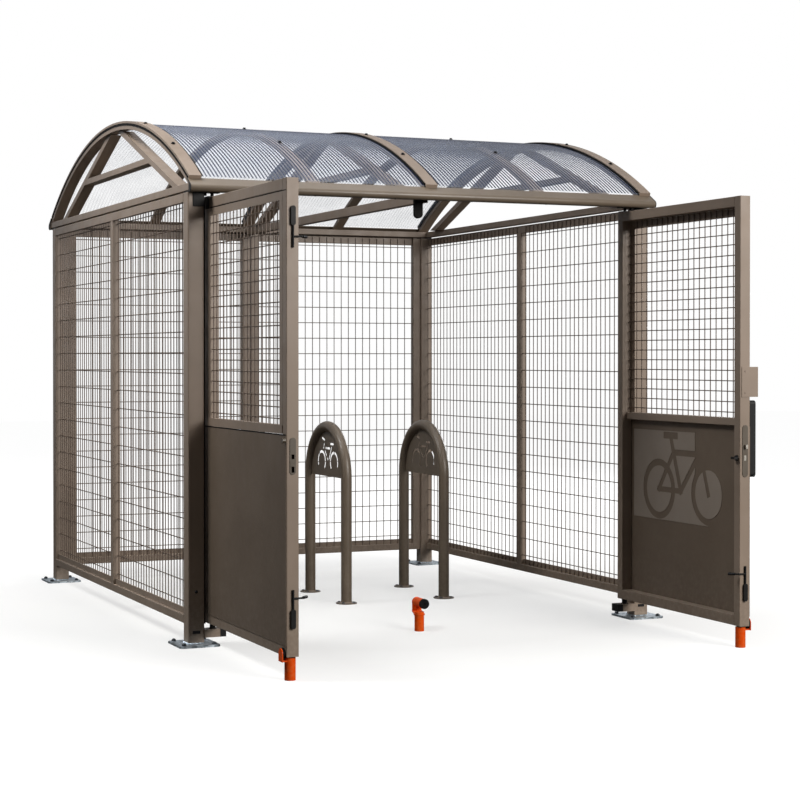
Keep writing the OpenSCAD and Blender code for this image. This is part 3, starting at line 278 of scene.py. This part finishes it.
def moulded(name, deep, light, gloss, grain_mm, depth_mm, shine):
    finish, tree, shader = new_finish(name)
    shader.inputs["Specular IOR Level"].default_value = shine
    share = spread(tree, spots(tree, TINT_MM, 3.0).outputs[0], 0.3, 0.7)
    tree.links.new(blend_colour(tree, share, colour(deep), colour(light)), shader.inputs["Base Color"])
    wear = spread(tree, spots(tree, WEAR_MM, 3.0).outputs[0], 0.3, 0.7, gloss, gloss + 0.12)
    tree.links.new(wear, shader.inputs["Roughness"])
    rough_skin(tree, shader, spots(tree, grain_mm, 2.0).outputs[0], depth_mm, 0.35)
    return finish


black_nylon = moulded("moulded_black_nylon", "#0A0A0B", "#121214", 0.42, 1.2, 0.06, 0.25)
black_rubber = moulded("moulded_black_rubber", "#0D0C0C", "#161514", 0.62, 2.0, 0.1, 0.1)

BRUSH_MM = 0.8
stainless, tree, shader = new_finish("brushed_stainless_steel", Metallic=1.0)
grain = spots(tree, BRUSH_MM, 2.0, stretch=(1, 1, 0.03)).outputs[0]
tree.links.new(blend_colour(tree, spread(tree, grain, 0.3, 0.7), colour("#A09C94"), colour("#BDB9B0")),
               shader.inputs["Base Color"])
tree.links.new(spread(tree, grain, 0.3, 0.7, 0.28, 0.42), shader.inputs["Roughness"])
rough_skin(tree, shader, grain, 0.03, 0.25)

# Bronze tinted and satin: the lock case and strike plate are darker than the taupe, with a soft shine
bronze_steel = powder_coat("bronze_tinted_satin_steel", "#4E463C", "#5C5347", "#7C7263", peel_mm=1.0, gloss=0.36)

zinc_bolt, tree, shader = new_finish("darkened_zinc_on_bolts", Metallic=1.0)
patch = spread(tree, spots(tree, 7, 4.0).outputs[0], 0.35, 0.7)
tree.links.new(blend_colour(tree, patch, colour("#3E4043"), colour("#63666A")), shader.inputs["Base Color"])
tree.links.new(spread(tree, patch, 0.0, 1.0, 0.35, 0.55), shader.inputs["Roughness"])
rough_skin(tree, shader, spots(tree, 2, 2.0).outputs[0], 0.05, 0.3)
print("small parts:", black_nylon.name, black_rubber.name, stainless.name, zinc_bolt.name)

# %% [markdown]
# ## Dress the frame
# The CAD export already names each solid's slot, so one table from slot to finish dresses every node.

# %% Assign the finishes
FINISHES = {
    # The wires take the dark copy of the taupe coat: painted shade.
    "frame_paint": taupe_coat, "mesh_paint": wire_coat_painted_shade, "galvanised": zinc, "roof_sheet": clear_sheet,
    "black_plastic": black_nylon, "black_steel": black_coat, "bright_steel": stainless, "rubber": black_rubber,
    # The sign field's paler grey is painted light, for the white seen through its perforation.
    "orange_paint": orange_coat, "sign_paint": sign_field_painted_see_through_light,
}
for obj in nodes.values():
    for holder in obj.material_slots:
        holder.material = FINISHES[holder.material.name.split(".")[0]]
# The door sheets take the darker copy of the taupe coat: painted shade.
for name, finish in (("lock_case", bronze_steel), ("strike_plate", bronze_steel),
                     ("left_door_sheet", sheet_coat_painted_shade), ("right_door_sheet", sheet_coat_painted_shade)):
    for holder in nodes[name].material_slots:
        holder.material = finish
print("dressed", len(nodes), "nodes")

# %% [markdown]
# ## Turned and hexagonal parts
# Washers, nuts and studs are turned or forged, so their shape is a profile swept round an axis. A stack of rings does
# both: each ring is a circle, or a circle cut to a hexagon, which also gives a nut its curved chamfer where the two
# meet. One builder puts any number of copies in one mesh.

# %% Ring builder
SIDES = 36


def ring(radius, height, hexagon=None):
    points = []
    for i in range(SIDES):
        angle = 2 * math.pi * i / SIDES
        reach = radius
        if hexagon:
            reach = min(radius, hexagon / 2 / math.cos((angle + math.pi / 6) % (math.pi / 3) - math.pi / 6))
        points.append(Vector((reach * math.cos(angle), reach * math.sin(angle), height)))
    return points


def loft(bm, rings, place, closed=False):
    rows = [[bm.verts.new(place @ p) for p in points] for points in rings]
    pairs = list(zip(rows, rows[1:])) + ([(rows[-1], rows[0])] if closed else [])
    for low, high in pairs:
        for i, j in zip(range(len(low)), list(range(1, len(low))) + [0]):
            bm.faces.new((low[i], low[j], high[j], high[i]))
    if not closed:
        bm.faces.new(list(reversed(rows[0])))
        bm.faces.new(rows[-1])


def washer(bm, place, bore, outside, thick):
    edge = thick * 0.2
    loft(bm, [ring(bore / 2, 0), ring(outside / 2, 0), ring(outside / 2, thick - edge),
              ring(outside / 2 - edge, thick), ring(bore / 2, thick)], place, closed=True)


def nut(bm, place, bore, across, high):
    corner = across / 2 / math.cos(math.pi / 6)
    edge = high * 0.12
    rings = [ring(bore / 2, 0), ring(across / 2 * 0.98, 0), ring(corner, edge, across),
             ring(corner, high - edge, across), ring(across / 2 * 0.95, high), ring(bore / 2 + edge, high),
             ring(bore / 2, high - edge)]
    loft(bm, rings, place, closed=True)


def stud(bm, place, across, low, high, pitch):
    turns = int((high - low) / pitch * 2)
    rings = [ring(across / 2 * (0.9 if i % 2 else 1.0), low + i * pitch / 2) for i in range(turns)]
    rings += [ring(across / 2 * 0.9, high - pitch * 0.4), ring(across / 2 * 0.72, high)]
    loft(bm, rings, place)


def button_screw(bm, place, across):
    radius = across / 2
    rings = [ring(radius, 0), ring(radius, radius * 0.12)]
    rings += [ring(radius * math.cos(t), radius * (0.12 + 0.5 * math.sin(t))) for t in (0.3, 0.6, 0.85, 1.05)]
    top = rings[-1][0].z
    rings += [ring(radius * 0.42, top, radius * 0.7), ring(radius * 0.4, top - radius * 0.4, radius * 0.68)]
    loft(bm, rings, place)


def finish_piece(name, bm, finish, body, crease=32):
    bmesh.ops.recalc_face_normals(bm, faces=bm.faces)
    mesh = bpy.data.meshes.new(name)
    bm.to_mesh(mesh)
    bm.free()
    mesh.materials.append(finish)
    mesh.polygons.foreach_set("use_smooth", [True] * len(mesh.polygons))
    mesh.set_sharp_from_angle(angle=math.radians(crease))
    obj = bpy.data.objects.new(name, mesh)
    bpy.context.scene.collection.objects.link(obj)
    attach(obj, body)
    print(name, len(mesh.polygons), "faces on", body)
    return obj


# %% [markdown]
# ## Ground anchors
# Every base plate is held by four anchors with a washer, a nut and a short end of thread standing over it, and every
# hoop flange by four smaller ones. The places are the plates' own hole patterns.

# %% Anchors on the base plates and hoop flanges
def at(x, y, z):
    return Matrix.Translation((x, y, z))


def turned_to(x, y, z, axis):
    """A place whose own Z looks along axis."""
    return at(x, y, z) @ Vector(axis).to_track_quat("Z", "Y").to_matrix().to_4x4()


def anchor(bm, x, y, z, size, turn):
    """Washer, nut and thread end. Every size is a share of the thread's diameter."""
    place = at(x, y, z) @ Matrix.Rotation(turn, 4, "Z")
    washer(bm, place, size * 1.08, size * 2.0, size * 0.2)
    nut(bm, place @ at(0, 0, size * 0.2), size, size * 1.58, size * 0.6)
    stud(bm, place, size * 0.97, -size * 0.4, size * 1.05, size * 0.15)


plate_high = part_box("base_plates")[1]
post_low, post_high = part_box("corner_posts")
POST_HALF = 0.04
POST_X = [post_low.x + POST_HALF, post_high.x - POST_HALF]
POST_Y = [post_low.y + POST_HALF, post_high.y - POST_HALF]
ANCHOR_X, ANCHOR_Y = 0.075, 0.085
M12, M10 = 0.012, 0.010

bm = bmesh.new()
for i, (x, y) in enumerate((a, b) for a in POST_X for b in POST_Y):
    for k, (u, v) in enumerate((a, b) for a in (-ANCHOR_X, ANCHOR_X) for b in (-ANCHOR_Y, ANCHOR_Y)):
        anchor(bm, x + u, y + v, plate_high.z, M12, 0.4 + 1.3 * (4 * i + k))
finish_piece("post_anchors", bm, zinc_bolt, "enclosure")

hoop_low, hoop_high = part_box("cycle_hoops")
TUBE_R, FLANGE_R, FLANGE_T = 0.030, 0.059, 0.006
FLANGE_HOLES_R = 0.0445
HOOP_X = [hoop_low.x + FLANGE_R, 0.0, hoop_high.x - FLANGE_R]
HOOP_Y = [hoop_low.y + FLANGE_R, hoop_high.y - FLANGE_R]
bm = bmesh.new()
for i, (x, y) in enumerate((a, b) for a in HOOP_X for b in HOOP_Y):
    for k in range(4):
        angle = math.pi / 4 + k * math.pi / 2
        place = at(x + FLANGE_HOLES_R * math.cos(angle), y + FLANGE_HOLES_R * math.sin(angle), FLANGE_T)
        button_screw(bm, place @ Matrix.Rotation(0.7 * (4 * i + k), 4, "Z"), 2 * M10)
finish_piece("hoop_anchors", bm, zinc_bolt, "enclosure")

# %% [markdown]
# ## Weld beads
# Posts and hoops are fillet welded to their plates. A bead is a small quarter round in the corner, with the ripples
# that the moving torch leaves every few millimetres. It follows a closed path round the foot, so one function lofts
# its cross-section along any path.

# %% Beads round the feet
RIPPLE_MM = 4.0
POST_CORNER, POST_BEAD, HOOP_BEAD = 0.006, 0.005, 0.004


def foot_path(x, y, half_side, corner, step):
    """Points and outward directions round a square foot with round corners. A round foot has corner = half_side."""
    path = []
    flat = half_side - corner
    for quarter in range(4):
        turn = quarter * math.pi / 2
        count = max(2, int(corner * math.pi / 2 / step))
        for i in range(count):
            angle = turn + i / count * math.pi / 2
            out = Vector((math.cos(angle), math.sin(angle), 0))
            centre = Vector((flat * (1 if quarter in (0, 3) else -1), flat * (1 if quarter < 2 else -1), 0))
            path.append((Vector((x, y, 0)) + centre + out * corner, out))
        if flat > 0:
            out = Vector((math.cos(turn + math.pi / 2), math.sin(turn + math.pi / 2), 0))
            centre = Vector((flat * (1 if quarter in (0, 3) else -1), flat * (1 if quarter < 2 else -1), 0))
            along = Vector((-out.y, out.x, 0))
            for i in range(int(2 * flat / step)):
                path.append((Vector((x, y, 0)) + centre + out * corner + along * i * step, out))
    return path


def bead(bm, path, z, size):
    rings = []
    for k, (point, out) in enumerate(path):
        fat = size * (1 + 0.14 * math.sin(2 * math.pi * k / 3))
        root = point + Vector((0, 0, z)) - out * size * 0.25
        points = [root + Vector((0, 0, -size * 0.2))]
        for angle in (0.0, 0.4, 0.8, 1.2, math.pi / 2):
            points.append(root + out * fat * 1.25 * math.cos(angle) + Vector((0, 0, fat * math.sin(angle))))
        rings.append(points)
    loft(bm, rings, Matrix.Identity(4), closed=True)


step = RIPPLE_MM * MM / 3
bm = bmesh.new()
for x in POST_X:
    for y in POST_Y:
        bead(bm, foot_path(x, y, POST_HALF, POST_CORNER, step), plate_high.z, POST_BEAD)
finish_piece("post_weld_beads", bm, zinc, "enclosure", crease=60)
bm = bmesh.new()
for x in HOOP_X:
    for y in HOOP_Y:
        bead(bm, foot_path(x, y, TUBE_R, TUBE_R, step), FLANGE_T, HOOP_BEAD)
finish_piece("hoop_weld_beads", bm, taupe_coat, "enclosure", crease=60)

# %% [markdown]
# ## Cycle hoops
# A hoop is one bent tube on two round floor flanges. Under its bend sits a plate with a bicycle cut by laser. The cut
# lines are open and never touch, otherwise the middle of a wheel would fall out. The outline and the holes are filled
# as one flat face, which is then given its thickness.

# %% Bent tubes and cut plates
HOOP_REACH = 0.285
LEG_START, LEG_MIDDLE = 0.002, 0.35
HOOP_MID = (HOOP_Y[0] + HOOP_Y[1]) / 2
BEND_Z = hoop_high.z - TUBE_R - HOOP_REACH
PLATE_R, PLATE_T = 0.258, 0.0025


def bent_tube(bm, x, sides=28, steps=40):
    path = [(-HOOP_REACH, LEG_START, 0.0), (-HOOP_REACH, LEG_MIDDLE, 0.0)]
    for i in range(steps + 1):
        t = math.pi * i / steps
        path.append((-HOOP_REACH * math.cos(t), BEND_Z + HOOP_REACH * math.sin(t), t))
    path += [(HOOP_REACH, LEG_MIDDLE, math.pi), (HOOP_REACH, LEG_START, math.pi)]
    rings = []
    for y, z, turn in path:
        outward = Vector((0, -math.cos(turn), math.sin(turn)))
        rings.append([Vector((x, HOOP_MID + y, z)) + TUBE_R * (math.cos(a) * outward + math.sin(a) * Vector((1, 0, 0)))
                      for a in (2 * math.pi * k / sides for k in range(sides))])
    loft(bm, rings, Matrix.Identity(4))


def line_cut(a, b, wide=0.012):
    turn = math.atan2(b[1] - a[1], b[0] - a[0])
    points = []
    for end, start in ((b, turn - math.pi / 2), (a, turn + math.pi / 2)):
        for k in range(5):
            t = start + math.pi * k / 4
            points.append((end[0] + wide / 2 * math.cos(t), end[1] + wide / 2 * math.sin(t)))
    return points


def arc_cut(centre, radius, t0, t1, wide=0.015, steps=28):
    turns = [math.radians(t0 + (t1 - t0) * k / steps) for k in range(steps + 1)]
    big, small = radius + wide / 2, radius - wide / 2
    outer = [(centre[0] + big * math.cos(t), centre[1] + big * math.sin(t)) for t in turns]
    inner = [(centre[0] + small * math.cos(t), centre[1] + small * math.sin(t)) for t in turns]
    return outer + inner[::-1]


# A wheel is an arc that stays open at the bottom: its centre, radius, and start and end in degrees
OUTLINE = [(PLATE_R * math.cos(math.pi * k / 48), PLATE_R * math.sin(math.pi * k / 48)) for k in range(49)]
CUTS = [arc_cut((-0.096, 0.082), 0.056, -40, 205), arc_cut((0.096, 0.082), 0.056, -25, 220),
        line_cut((-0.086, 0.186), (-0.042, 0.186)), line_cut((-0.056, 0.166), (-0.020, 0.100)),
        line_cut((-0.030, 0.160), (0.032, 0.160)), line_cut((0.000, 0.095), (0.044, 0.142)),
        line_cut((0.058, 0.184), (0.068, 0.158)), line_cut((0.052, 0.206), (0.088, 0.216))]


def cut_plate(bm, x):
    edges = []
    for points in [OUTLINE] + CUTS:
        corners = [bm.verts.new((x - PLATE_T / 2, HOOP_MID + y, BEND_Z + z)) for y, z in points]
        edges += [bm.edges.new((corners[i - 1], corners[i])) for i in range(len(corners))]
    fill = bmesh.ops.triangle_fill(bm, edges=edges, use_beauty=True)["geom"]
    faces = [g for g in fill if isinstance(g, bmesh.types.BMFace)]
    grown = bmesh.ops.extrude_face_region(bm, geom=faces, use_keep_orig=True)["geom"]
    bmesh.ops.translate(bm, verts=[g for g in grown if isinstance(g, bmesh.types.BMVert)], vec=(PLATE_T, 0, 0))


bm = bmesh.new()
for x in HOOP_X:
    bent_tube(bm, x)
    cut_plate(bm, x)
    for y in HOOP_Y:
        washer(bm, at(x, y, 0), 2 * TUBE_R - 0.0004, 2 * FLANGE_R, FLANGE_T)
# The hoops take the darker copy of the taupe coat: painted shade.
hoops = finish_piece("bent_hoops", bm, bend_coat_painted_shade, "enclosure")
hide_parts("cycle_hoops")

# %% [markdown]
# ## Gutter nose
# The gutter is folded from sheet: a flange that carries on the slope of the roof, then a full round nose, then a flat
# underside that returns to the eave beam. The round nose catches one bright line and falls into shade below. The
# plain solid has a flatter nose, so a folded profile with a real bend takes its place, and so do its end caps.

# %% Gutters and their end caps
GUTTER_LOW, GUTTER_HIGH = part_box("gutters")
CAP_LOW, CAP_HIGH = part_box("gutter_end_caps")
MID_Y = (GUTTER_LOW.y + GUTTER_HIGH.y) / 2
REACH = (GUTTER_HIGH.y - GUTTER_LOW.y) / 2
NOSE_R, NOSE_STEPS = 0.019, 14
FLANGE_UP, FLANGE_DEEP = ARCH_RADIUS + 0.005, 0.003
SHEET_END, FLANGE_START, EAVE = 1.425, 1.4252, 1.4562
FLANGE_TUCK, CAP_PROUD = 0.001, 0.0015
GUTTER_EDGE, CAP_EDGE, PROFILE_HALF = 0.0005, 0.0006, 0.03
SLOPE = math.asin(SHEET_END / SHEET_TOP)


def flange_z(y, radius):
    return ARCH_CENTRE.z + radius / math.cos(SLOPE) - y * math.tan(SLOPE)


def gutter_profile(grow=0.0):
    y = REACH - NOSE_R
    centre = (y, flange_z(y, FLANGE_UP) - NOSE_R / math.cos(SLOPE))
    radius = NOSE_R + grow
    turn = [math.pi / 2 - SLOPE - i * (math.pi - SLOPE) / NOSE_STEPS for i in range(NOSE_STEPS + 1)]
    arc = [(centre[0] + radius * math.cos(t), centre[1] + radius * math.sin(t)) for t in turn]
    start = [(FLANGE_START, flange_z(FLANGE_START, FLANGE_UP + grow))]
    below = FLANGE_UP - FLANGE_DEEP
    back = [(EAVE, arc[-1][1]), (EAVE, flange_z(EAVE, below)), (FLANGE_START - FLANGE_TUCK,
                                                                       flange_z(FLANGE_START, below))]
    return start + arc + back


def along(bm, x0, x1, profile, side, edge=0.0):
    middle_y = sum(q[0] for q in profile) / len(profile)
    middle_z = sum(q[1] for q in profile) / len(profile)
    rings = []
    for x, inset in ((x0, edge), (x0 + edge, 0.0), (x1 - edge, 0.0), (x1, edge)):
        keep = 1 - inset / PROFILE_HALF
        rings.append([Vector((x, MID_Y + side * (middle_y + (y - middle_y) * keep), middle_z + (z - middle_z) * keep))
                      for y, z in profile])
    loft(bm, rings, Matrix.Identity(4))


bm = bmesh.new()
for side in (-1, 1):
    along(bm, GUTTER_LOW.x, GUTTER_HIGH.x, gutter_profile(), side, edge=GUTTER_EDGE)
# The noses take the darker copy of the taupe coat: painted shade.
noses = finish_piece("gutter_noses", bm, bend_coat_painted_shade, "enclosure", crease=40)
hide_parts("gutters")
bm = bmesh.new()
for side in (-1, 1):
    along(bm, CAP_LOW.x, GUTTER_LOW.x, gutter_profile(CAP_PROUD), side, edge=CAP_EDGE)
    along(bm, GUTTER_HIGH.x, CAP_HIGH.x, gutter_profile(CAP_PROUD), side, edge=CAP_EDGE)
caps = finish_piece("gutter_caps", bm, black_nylon, "enclosure", crease=40)
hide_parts("gutter_end_caps")

UNDERSIDE = gutter_profile()[NOSE_STEPS + 1][1]
SCREWS, SCREW_START, SCREW_STEP, SCREW_Y, SCREW_HEAD = 6, -1.05, 0.42, 1.464, 0.010
bm = bmesh.new()
for side in (-1, 1):
    for k in range(SCREWS):
        place = turned_to(SCREW_START + SCREW_STEP * k, MID_Y + side * SCREW_Y, UNDERSIDE, (0, 0, -1))
        button_screw(bm, place, SCREW_HEAD)
finish_piece("gutter_screws", bm, zinc_bolt, "enclosure")

# %% [markdown]
# ## Black lines along the roof
# A thin black strip lies beside each edge of the cover bands, and another fills the gap between the gable
# arches and the end waves of the sheets. From a distance each one is the thin black line beside the taupe band.

# %% Black strips along the arches
STRIP_HALF, STRIP_EASE = 0.0045, 0.001


def arc_strip(bm, x0, x1, low, high, half_angle, steps=96):
    rings = []
    for i in range(steps + 1):
        t = half_angle * (2 * i / steps - 1)
        out = Vector((0, math.sin(t), math.cos(t)))
        inner, outer = ARCH_CENTRE + out * low, ARCH_CENTRE + out * high
        across = Vector((x1 - x0, 0, 0))
        base = Vector((x0, 0, 0))
        rings.append([inner + base, inner + base + across, outer - out * STRIP_EASE + base + across,
                      outer + base + across * 0.8, outer + base + across * 0.2, outer - out * STRIP_EASE + base])
    loft(bm, rings, Matrix.Identity(4))


BAND_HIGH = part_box("cover_bands")[1]
BAND_HALF = 0.031
STRIP_TALL, STRIP_LIFT, GABLE_LIFT = 0.0085, 0.0001, 0.0004
GABLE_STRIP = (1.2585, 1.2625)
GABLE_X = BAND_HIGH.x - BAND_HALF
END_GAP = 0.0008
ROOF_TURN = SLOPE - END_GAP
bm = bmesh.new()
for middle, sides in ((-GABLE_X, (1,)), (0.0, (-1, 1)), (GABLE_X, (-1,))):
    for side in sides:
        x = middle + side * (BAND_HALF + STRIP_HALF)
        arc_strip(bm, x - STRIP_HALF, x + STRIP_HALF, SHEET_TOP + STRIP_LIFT, SHEET_TOP + STRIP_TALL, ROOF_TURN)
finish_piece("band_edge_black_strips", bm, black_rubber, "enclosure", crease=25)
bm = bmesh.new()
for side in (-1, 1):
    x0, x1 = sorted(side * x for x in GABLE_STRIP)
    arc_strip(bm, x0, x1, ARCH_RADIUS + GABLE_LIFT, SHEET_TOP + STRIP_LIFT, ROOF_TURN)
finish_piece("gable_end_black_strips", bm, black_rubber, "enclosure", crease=25)

# %% [markdown]
# ## Painted shade on the doors
# A thin black strip on each front post fills the gap at the hinge edge: painted shade, where that gap lies in shade.
# On the outer face of both doors a thin black line runs where the sheet and the window strips meet the rails: painted
# shadow of the joint under each rail.

# %% Painted shade in the hinge gaps, painted shadow under the rails
def bar(bm, low, high, edge=0.0006):
    """A flat bar with eased edges, its long side along Z or Y."""
    size = [high[i] - low[i] for i in range(3)]
    axis = size.index(max(size))
    u, v = [i for i in range(3) if i != axis]
    rings = []
    for t, inset in ((low[axis], edge), (low[axis] + edge, 0), (high[axis] - edge, 0), (high[axis], edge)):
        points = []
        for a, b in ((0, 1), (1, 0), (2, 0), (3, 1), (3, 2), (2, 3), (1, 3), (0, 2)):
            steps = [[low[k] + inset, low[k] + inset + edge, high[k] - inset - edge, high[k] - inset] for k in (u, v)]
            point = [0.0, 0.0, 0.0]
            point[axis], point[u], point[v] = t, steps[0][a], steps[1][b]
            points.append(Vector(point))
        rings.append(points)
    loft(bm, rings, Matrix.Identity(4))


DOOR_LOW, DOOR_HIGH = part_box("right_door_frame")
HINGE_SHADE_X = (1.174, 1.1795)
HINGE_SHADE_FRONT, HINGE_SHADE_REAR = post_low.y + 0.002, post_low.y + 0.036
# Black strips in the hinge gaps: painted shade, where those gaps lie in shade.
bm = bmesh.new()
for side in (-1, 1):
    x0, x1 = sorted(side * x for x in HINGE_SHADE_X)
    bar(bm, (x0, HINGE_SHADE_FRONT, DOOR_LOW.z), (x1, HINGE_SHADE_REAR, DOOR_HIGH.z))
finish_piece("hinge_gap_painted_shade", bm, black_rubber, "enclosure")

OUTER_X = 1.1605
HINGE_Y = post_low.y + 0.05
MID_RAIL, WINDOW_TOP = 1.048, 2.084
SHADOW_LINE_END_GAP = 0.004
# Each painted shadow line: its two faces, measured outward from the door's outer face, then its lower and upper edge
PAINTED_SHADOW_LINES = ((-0.0008, 0.0008, WINDOW_TOP - 0.004, WINDOW_TOP), (0.0005, 0.0035, MID_RAIL - 0.006, MID_RAIL - 0.001))
for body, side in (("left_door", -1), ("right_door", 1)):
    shadow_line_start, shadow_line_end = DOOR_LOW.y + SHADOW_LINE_END_GAP, HINGE_Y - SHADOW_LINE_END_GAP
    bm = bmesh.new()
    for inner, outer, low, high in PAINTED_SHADOW_LINES:
        x0, x1 = sorted((side * (OUTER_X + inner), side * (OUTER_X + outer)))
        bar(bm, (x0, shadow_line_start, low), (x1, shadow_line_end, high))
    finish_piece(body + "_seams", bm, black_rubber, body)

# %% [markdown]
# ## Screws in the posts
# A black button-head screw sits on the front face of each front post, where the wall frame is pulled tight. Below it,
# a flat black patch near the foot stands for a slot: painted shade for the dark inside of the slot.

# %% Post screws
POST_SCREW_Z, POST_SCREW_HEAD = 0.257, 0.016
bm = bmesh.new()
for x in POST_X:
    button_screw(bm, turned_to(x, post_low.y, POST_SCREW_Z, (0, -1, 0)), POST_SCREW_HEAD)
finish_piece("post_screws", bm, black_nylon, "enclosure")

SLOT_Z, SLOT_HALF_WIDE, SLOT_HALF_TALL = 0.064, 0.019, 0.007
SLOT_PROUD, SLOT_SUNK = 0.0012, 0.001
# A flat black patch for the slot near each foot: painted shade.
bm = bmesh.new()
for x in POST_X:
    bar(bm, (x - SLOT_HALF_WIDE, post_low.y - SLOT_PROUD, SLOT_Z - SLOT_HALF_TALL),
        (x + SLOT_HALF_WIDE, post_low.y + SLOT_SUNK, SLOT_Z + SLOT_HALF_TALL))
finish_piece("post_slot_painted_shade", bm, black_nylon, "enclosure")

# %% [markdown]
# ## Stage and light
# The photograph stands on plain white. The floor is pale and keeps the soft shadow. It adds white only for what the
# camera or a clear sheet sees, less of it near the compound than further out, which paints a wide soft shade round
# it; every other ray finds a dull grey floor. The background is white for the same two, half as bright in a
# reflection, and nearly dark as a light, so that the dark paint keeps its depth. The light is one large softbox from
# the front, one from the upper left, one overhead, and one behind that keeps the back readable.

# %% Floor, world and softboxes
def seen_ray(tree):
    rays = add(tree, "ShaderNodeLightPath").outputs
    return add(tree, "ShaderNodeMath", {0: rays["Is Camera Ray"], 1: rays["Is Transmission Ray"]},
               operation="MAXIMUM").outputs[0]


FLOOR_HALF = 30.0
GLOW_NEAR, GLOW_FAR = 1.4, 3.4
GLOW_LEAST_AS_PAINTED_SHADE, GLOW_MOST = 0.56, 0.95
bm = bmesh.new()
bmesh.ops.create_grid(bm, x_segments=4, y_segments=4, size=FLOOR_HALF)
mesh = bpy.data.meshes.new("floor")
bm.to_mesh(mesh)
bm.free()
floor = bpy.data.objects.new("floor", mesh)
bpy.context.scene.collection.objects.link(floor)

slab = bpy.data.materials.new("pale_studio_floor")
slab.use_nodes = True
tree = slab.node_tree
shader = tree.nodes["Principled BSDF"]
shader.inputs["Roughness"].default_value = 0.9
shader.inputs["Specular IOR Level"].default_value = 0.1
tone = blend_colour(tree, spots(tree, 900, 2.0).outputs[0], colour("#9C9C9A"), colour("#A0A09E"))
tree.links.new(tone, shader.inputs["Base Color"])
place = add(tree, "ShaderNodeTexCoord").outputs["Object"]
far = add(tree, "ShaderNodeVectorMath", {0: place}, operation="LENGTH").outputs["Value"]
# Less glow near the compound than further out: a painted soft shade on the floor round it.
strength = spread(tree, far, GLOW_NEAR, GLOW_FAR, GLOW_LEAST_AS_PAINTED_SHADE, GLOW_MOST)
glow = add(tree, "ShaderNodeEmission", {"Color": (1, 1, 1, 1), "Strength": strength}).outputs[0]
lit = add(tree, "ShaderNodeAddShader", {0: shader.outputs[0], 1: glow}).outputs[0]
dull = add(tree, "ShaderNodeBsdfDiffuse", {"Color": colour("#5C5A57")}).outputs[0]
either = add(tree, "ShaderNodeMixShader", {0: seen_ray(tree), 1: dull, 2: lit})
tree.links.new(either.outputs[0], tree.nodes["Material Output"].inputs["Surface"])
floor.data.materials.append(slab)

world = bpy.data.worlds.new("studio")
bpy.context.scene.world = world
world.use_nodes = True
tree = world.node_tree
WORLD_FILL, WORLD_SHINE = 0.035, 0.5
dim = tree.nodes["Background"]
dim.inputs["Color"].default_value = colour("#F4F6FA")
shiny = add(tree, "ShaderNodeLightPath").outputs["Is Glossy Ray"]
tree.links.new(spread(tree, shiny, 0.0, 1.0, WORLD_FILL, WORLD_SHINE), dim.inputs["Strength"])
white = add(tree, "ShaderNodeBackground", {"Color": (1, 1, 1, 1), "Strength": 1.0}).outputs[0]
both = add(tree, "ShaderNodeMixShader", {0: seen_ray(tree), 1: dim.outputs[0], 2: white})
tree.links.new(both.outputs[0], tree.nodes["World Output"].inputs["Surface"])


def softbox(name, place, aim, size, power, tint="#FFFFFF", beam=180):
    lamp = bpy.data.lights.new(name, "AREA")
    lamp.shape = "SQUARE"
    lamp.size = size
    lamp.spread = math.radians(beam)
    lamp.energy = power
    lamp.color = colour(tint)[:3]
    obj = bpy.data.objects.new(name, lamp)
    obj.location = place
    obj.rotation_euler = (Vector(aim) - Vector(place)).to_track_quat("-Z", "Y").to_euler()
    bpy.context.scene.collection.objects.link(obj)
    print(name, power, "W at", place)


softbox("front_softbox", (4.0, -10.5, 5.0), (0, 0, 1.2), 5.0, 1180, "#FFFBF6")
softbox("left_softbox", (-3.8, -0.2, 5.6), (-1.26, -0.2, 1.9), 2.0, 54, beam=70)
softbox("rear_softbox", (9.5, 7.0, 3.4), (0, 0.5, 1.2), 4.0, 420, "#FBFBFC")
softbox("top_softbox", (0, 0, 8.0), (0, 0.3, 0), 7.0, 180, "#FBFBFC")
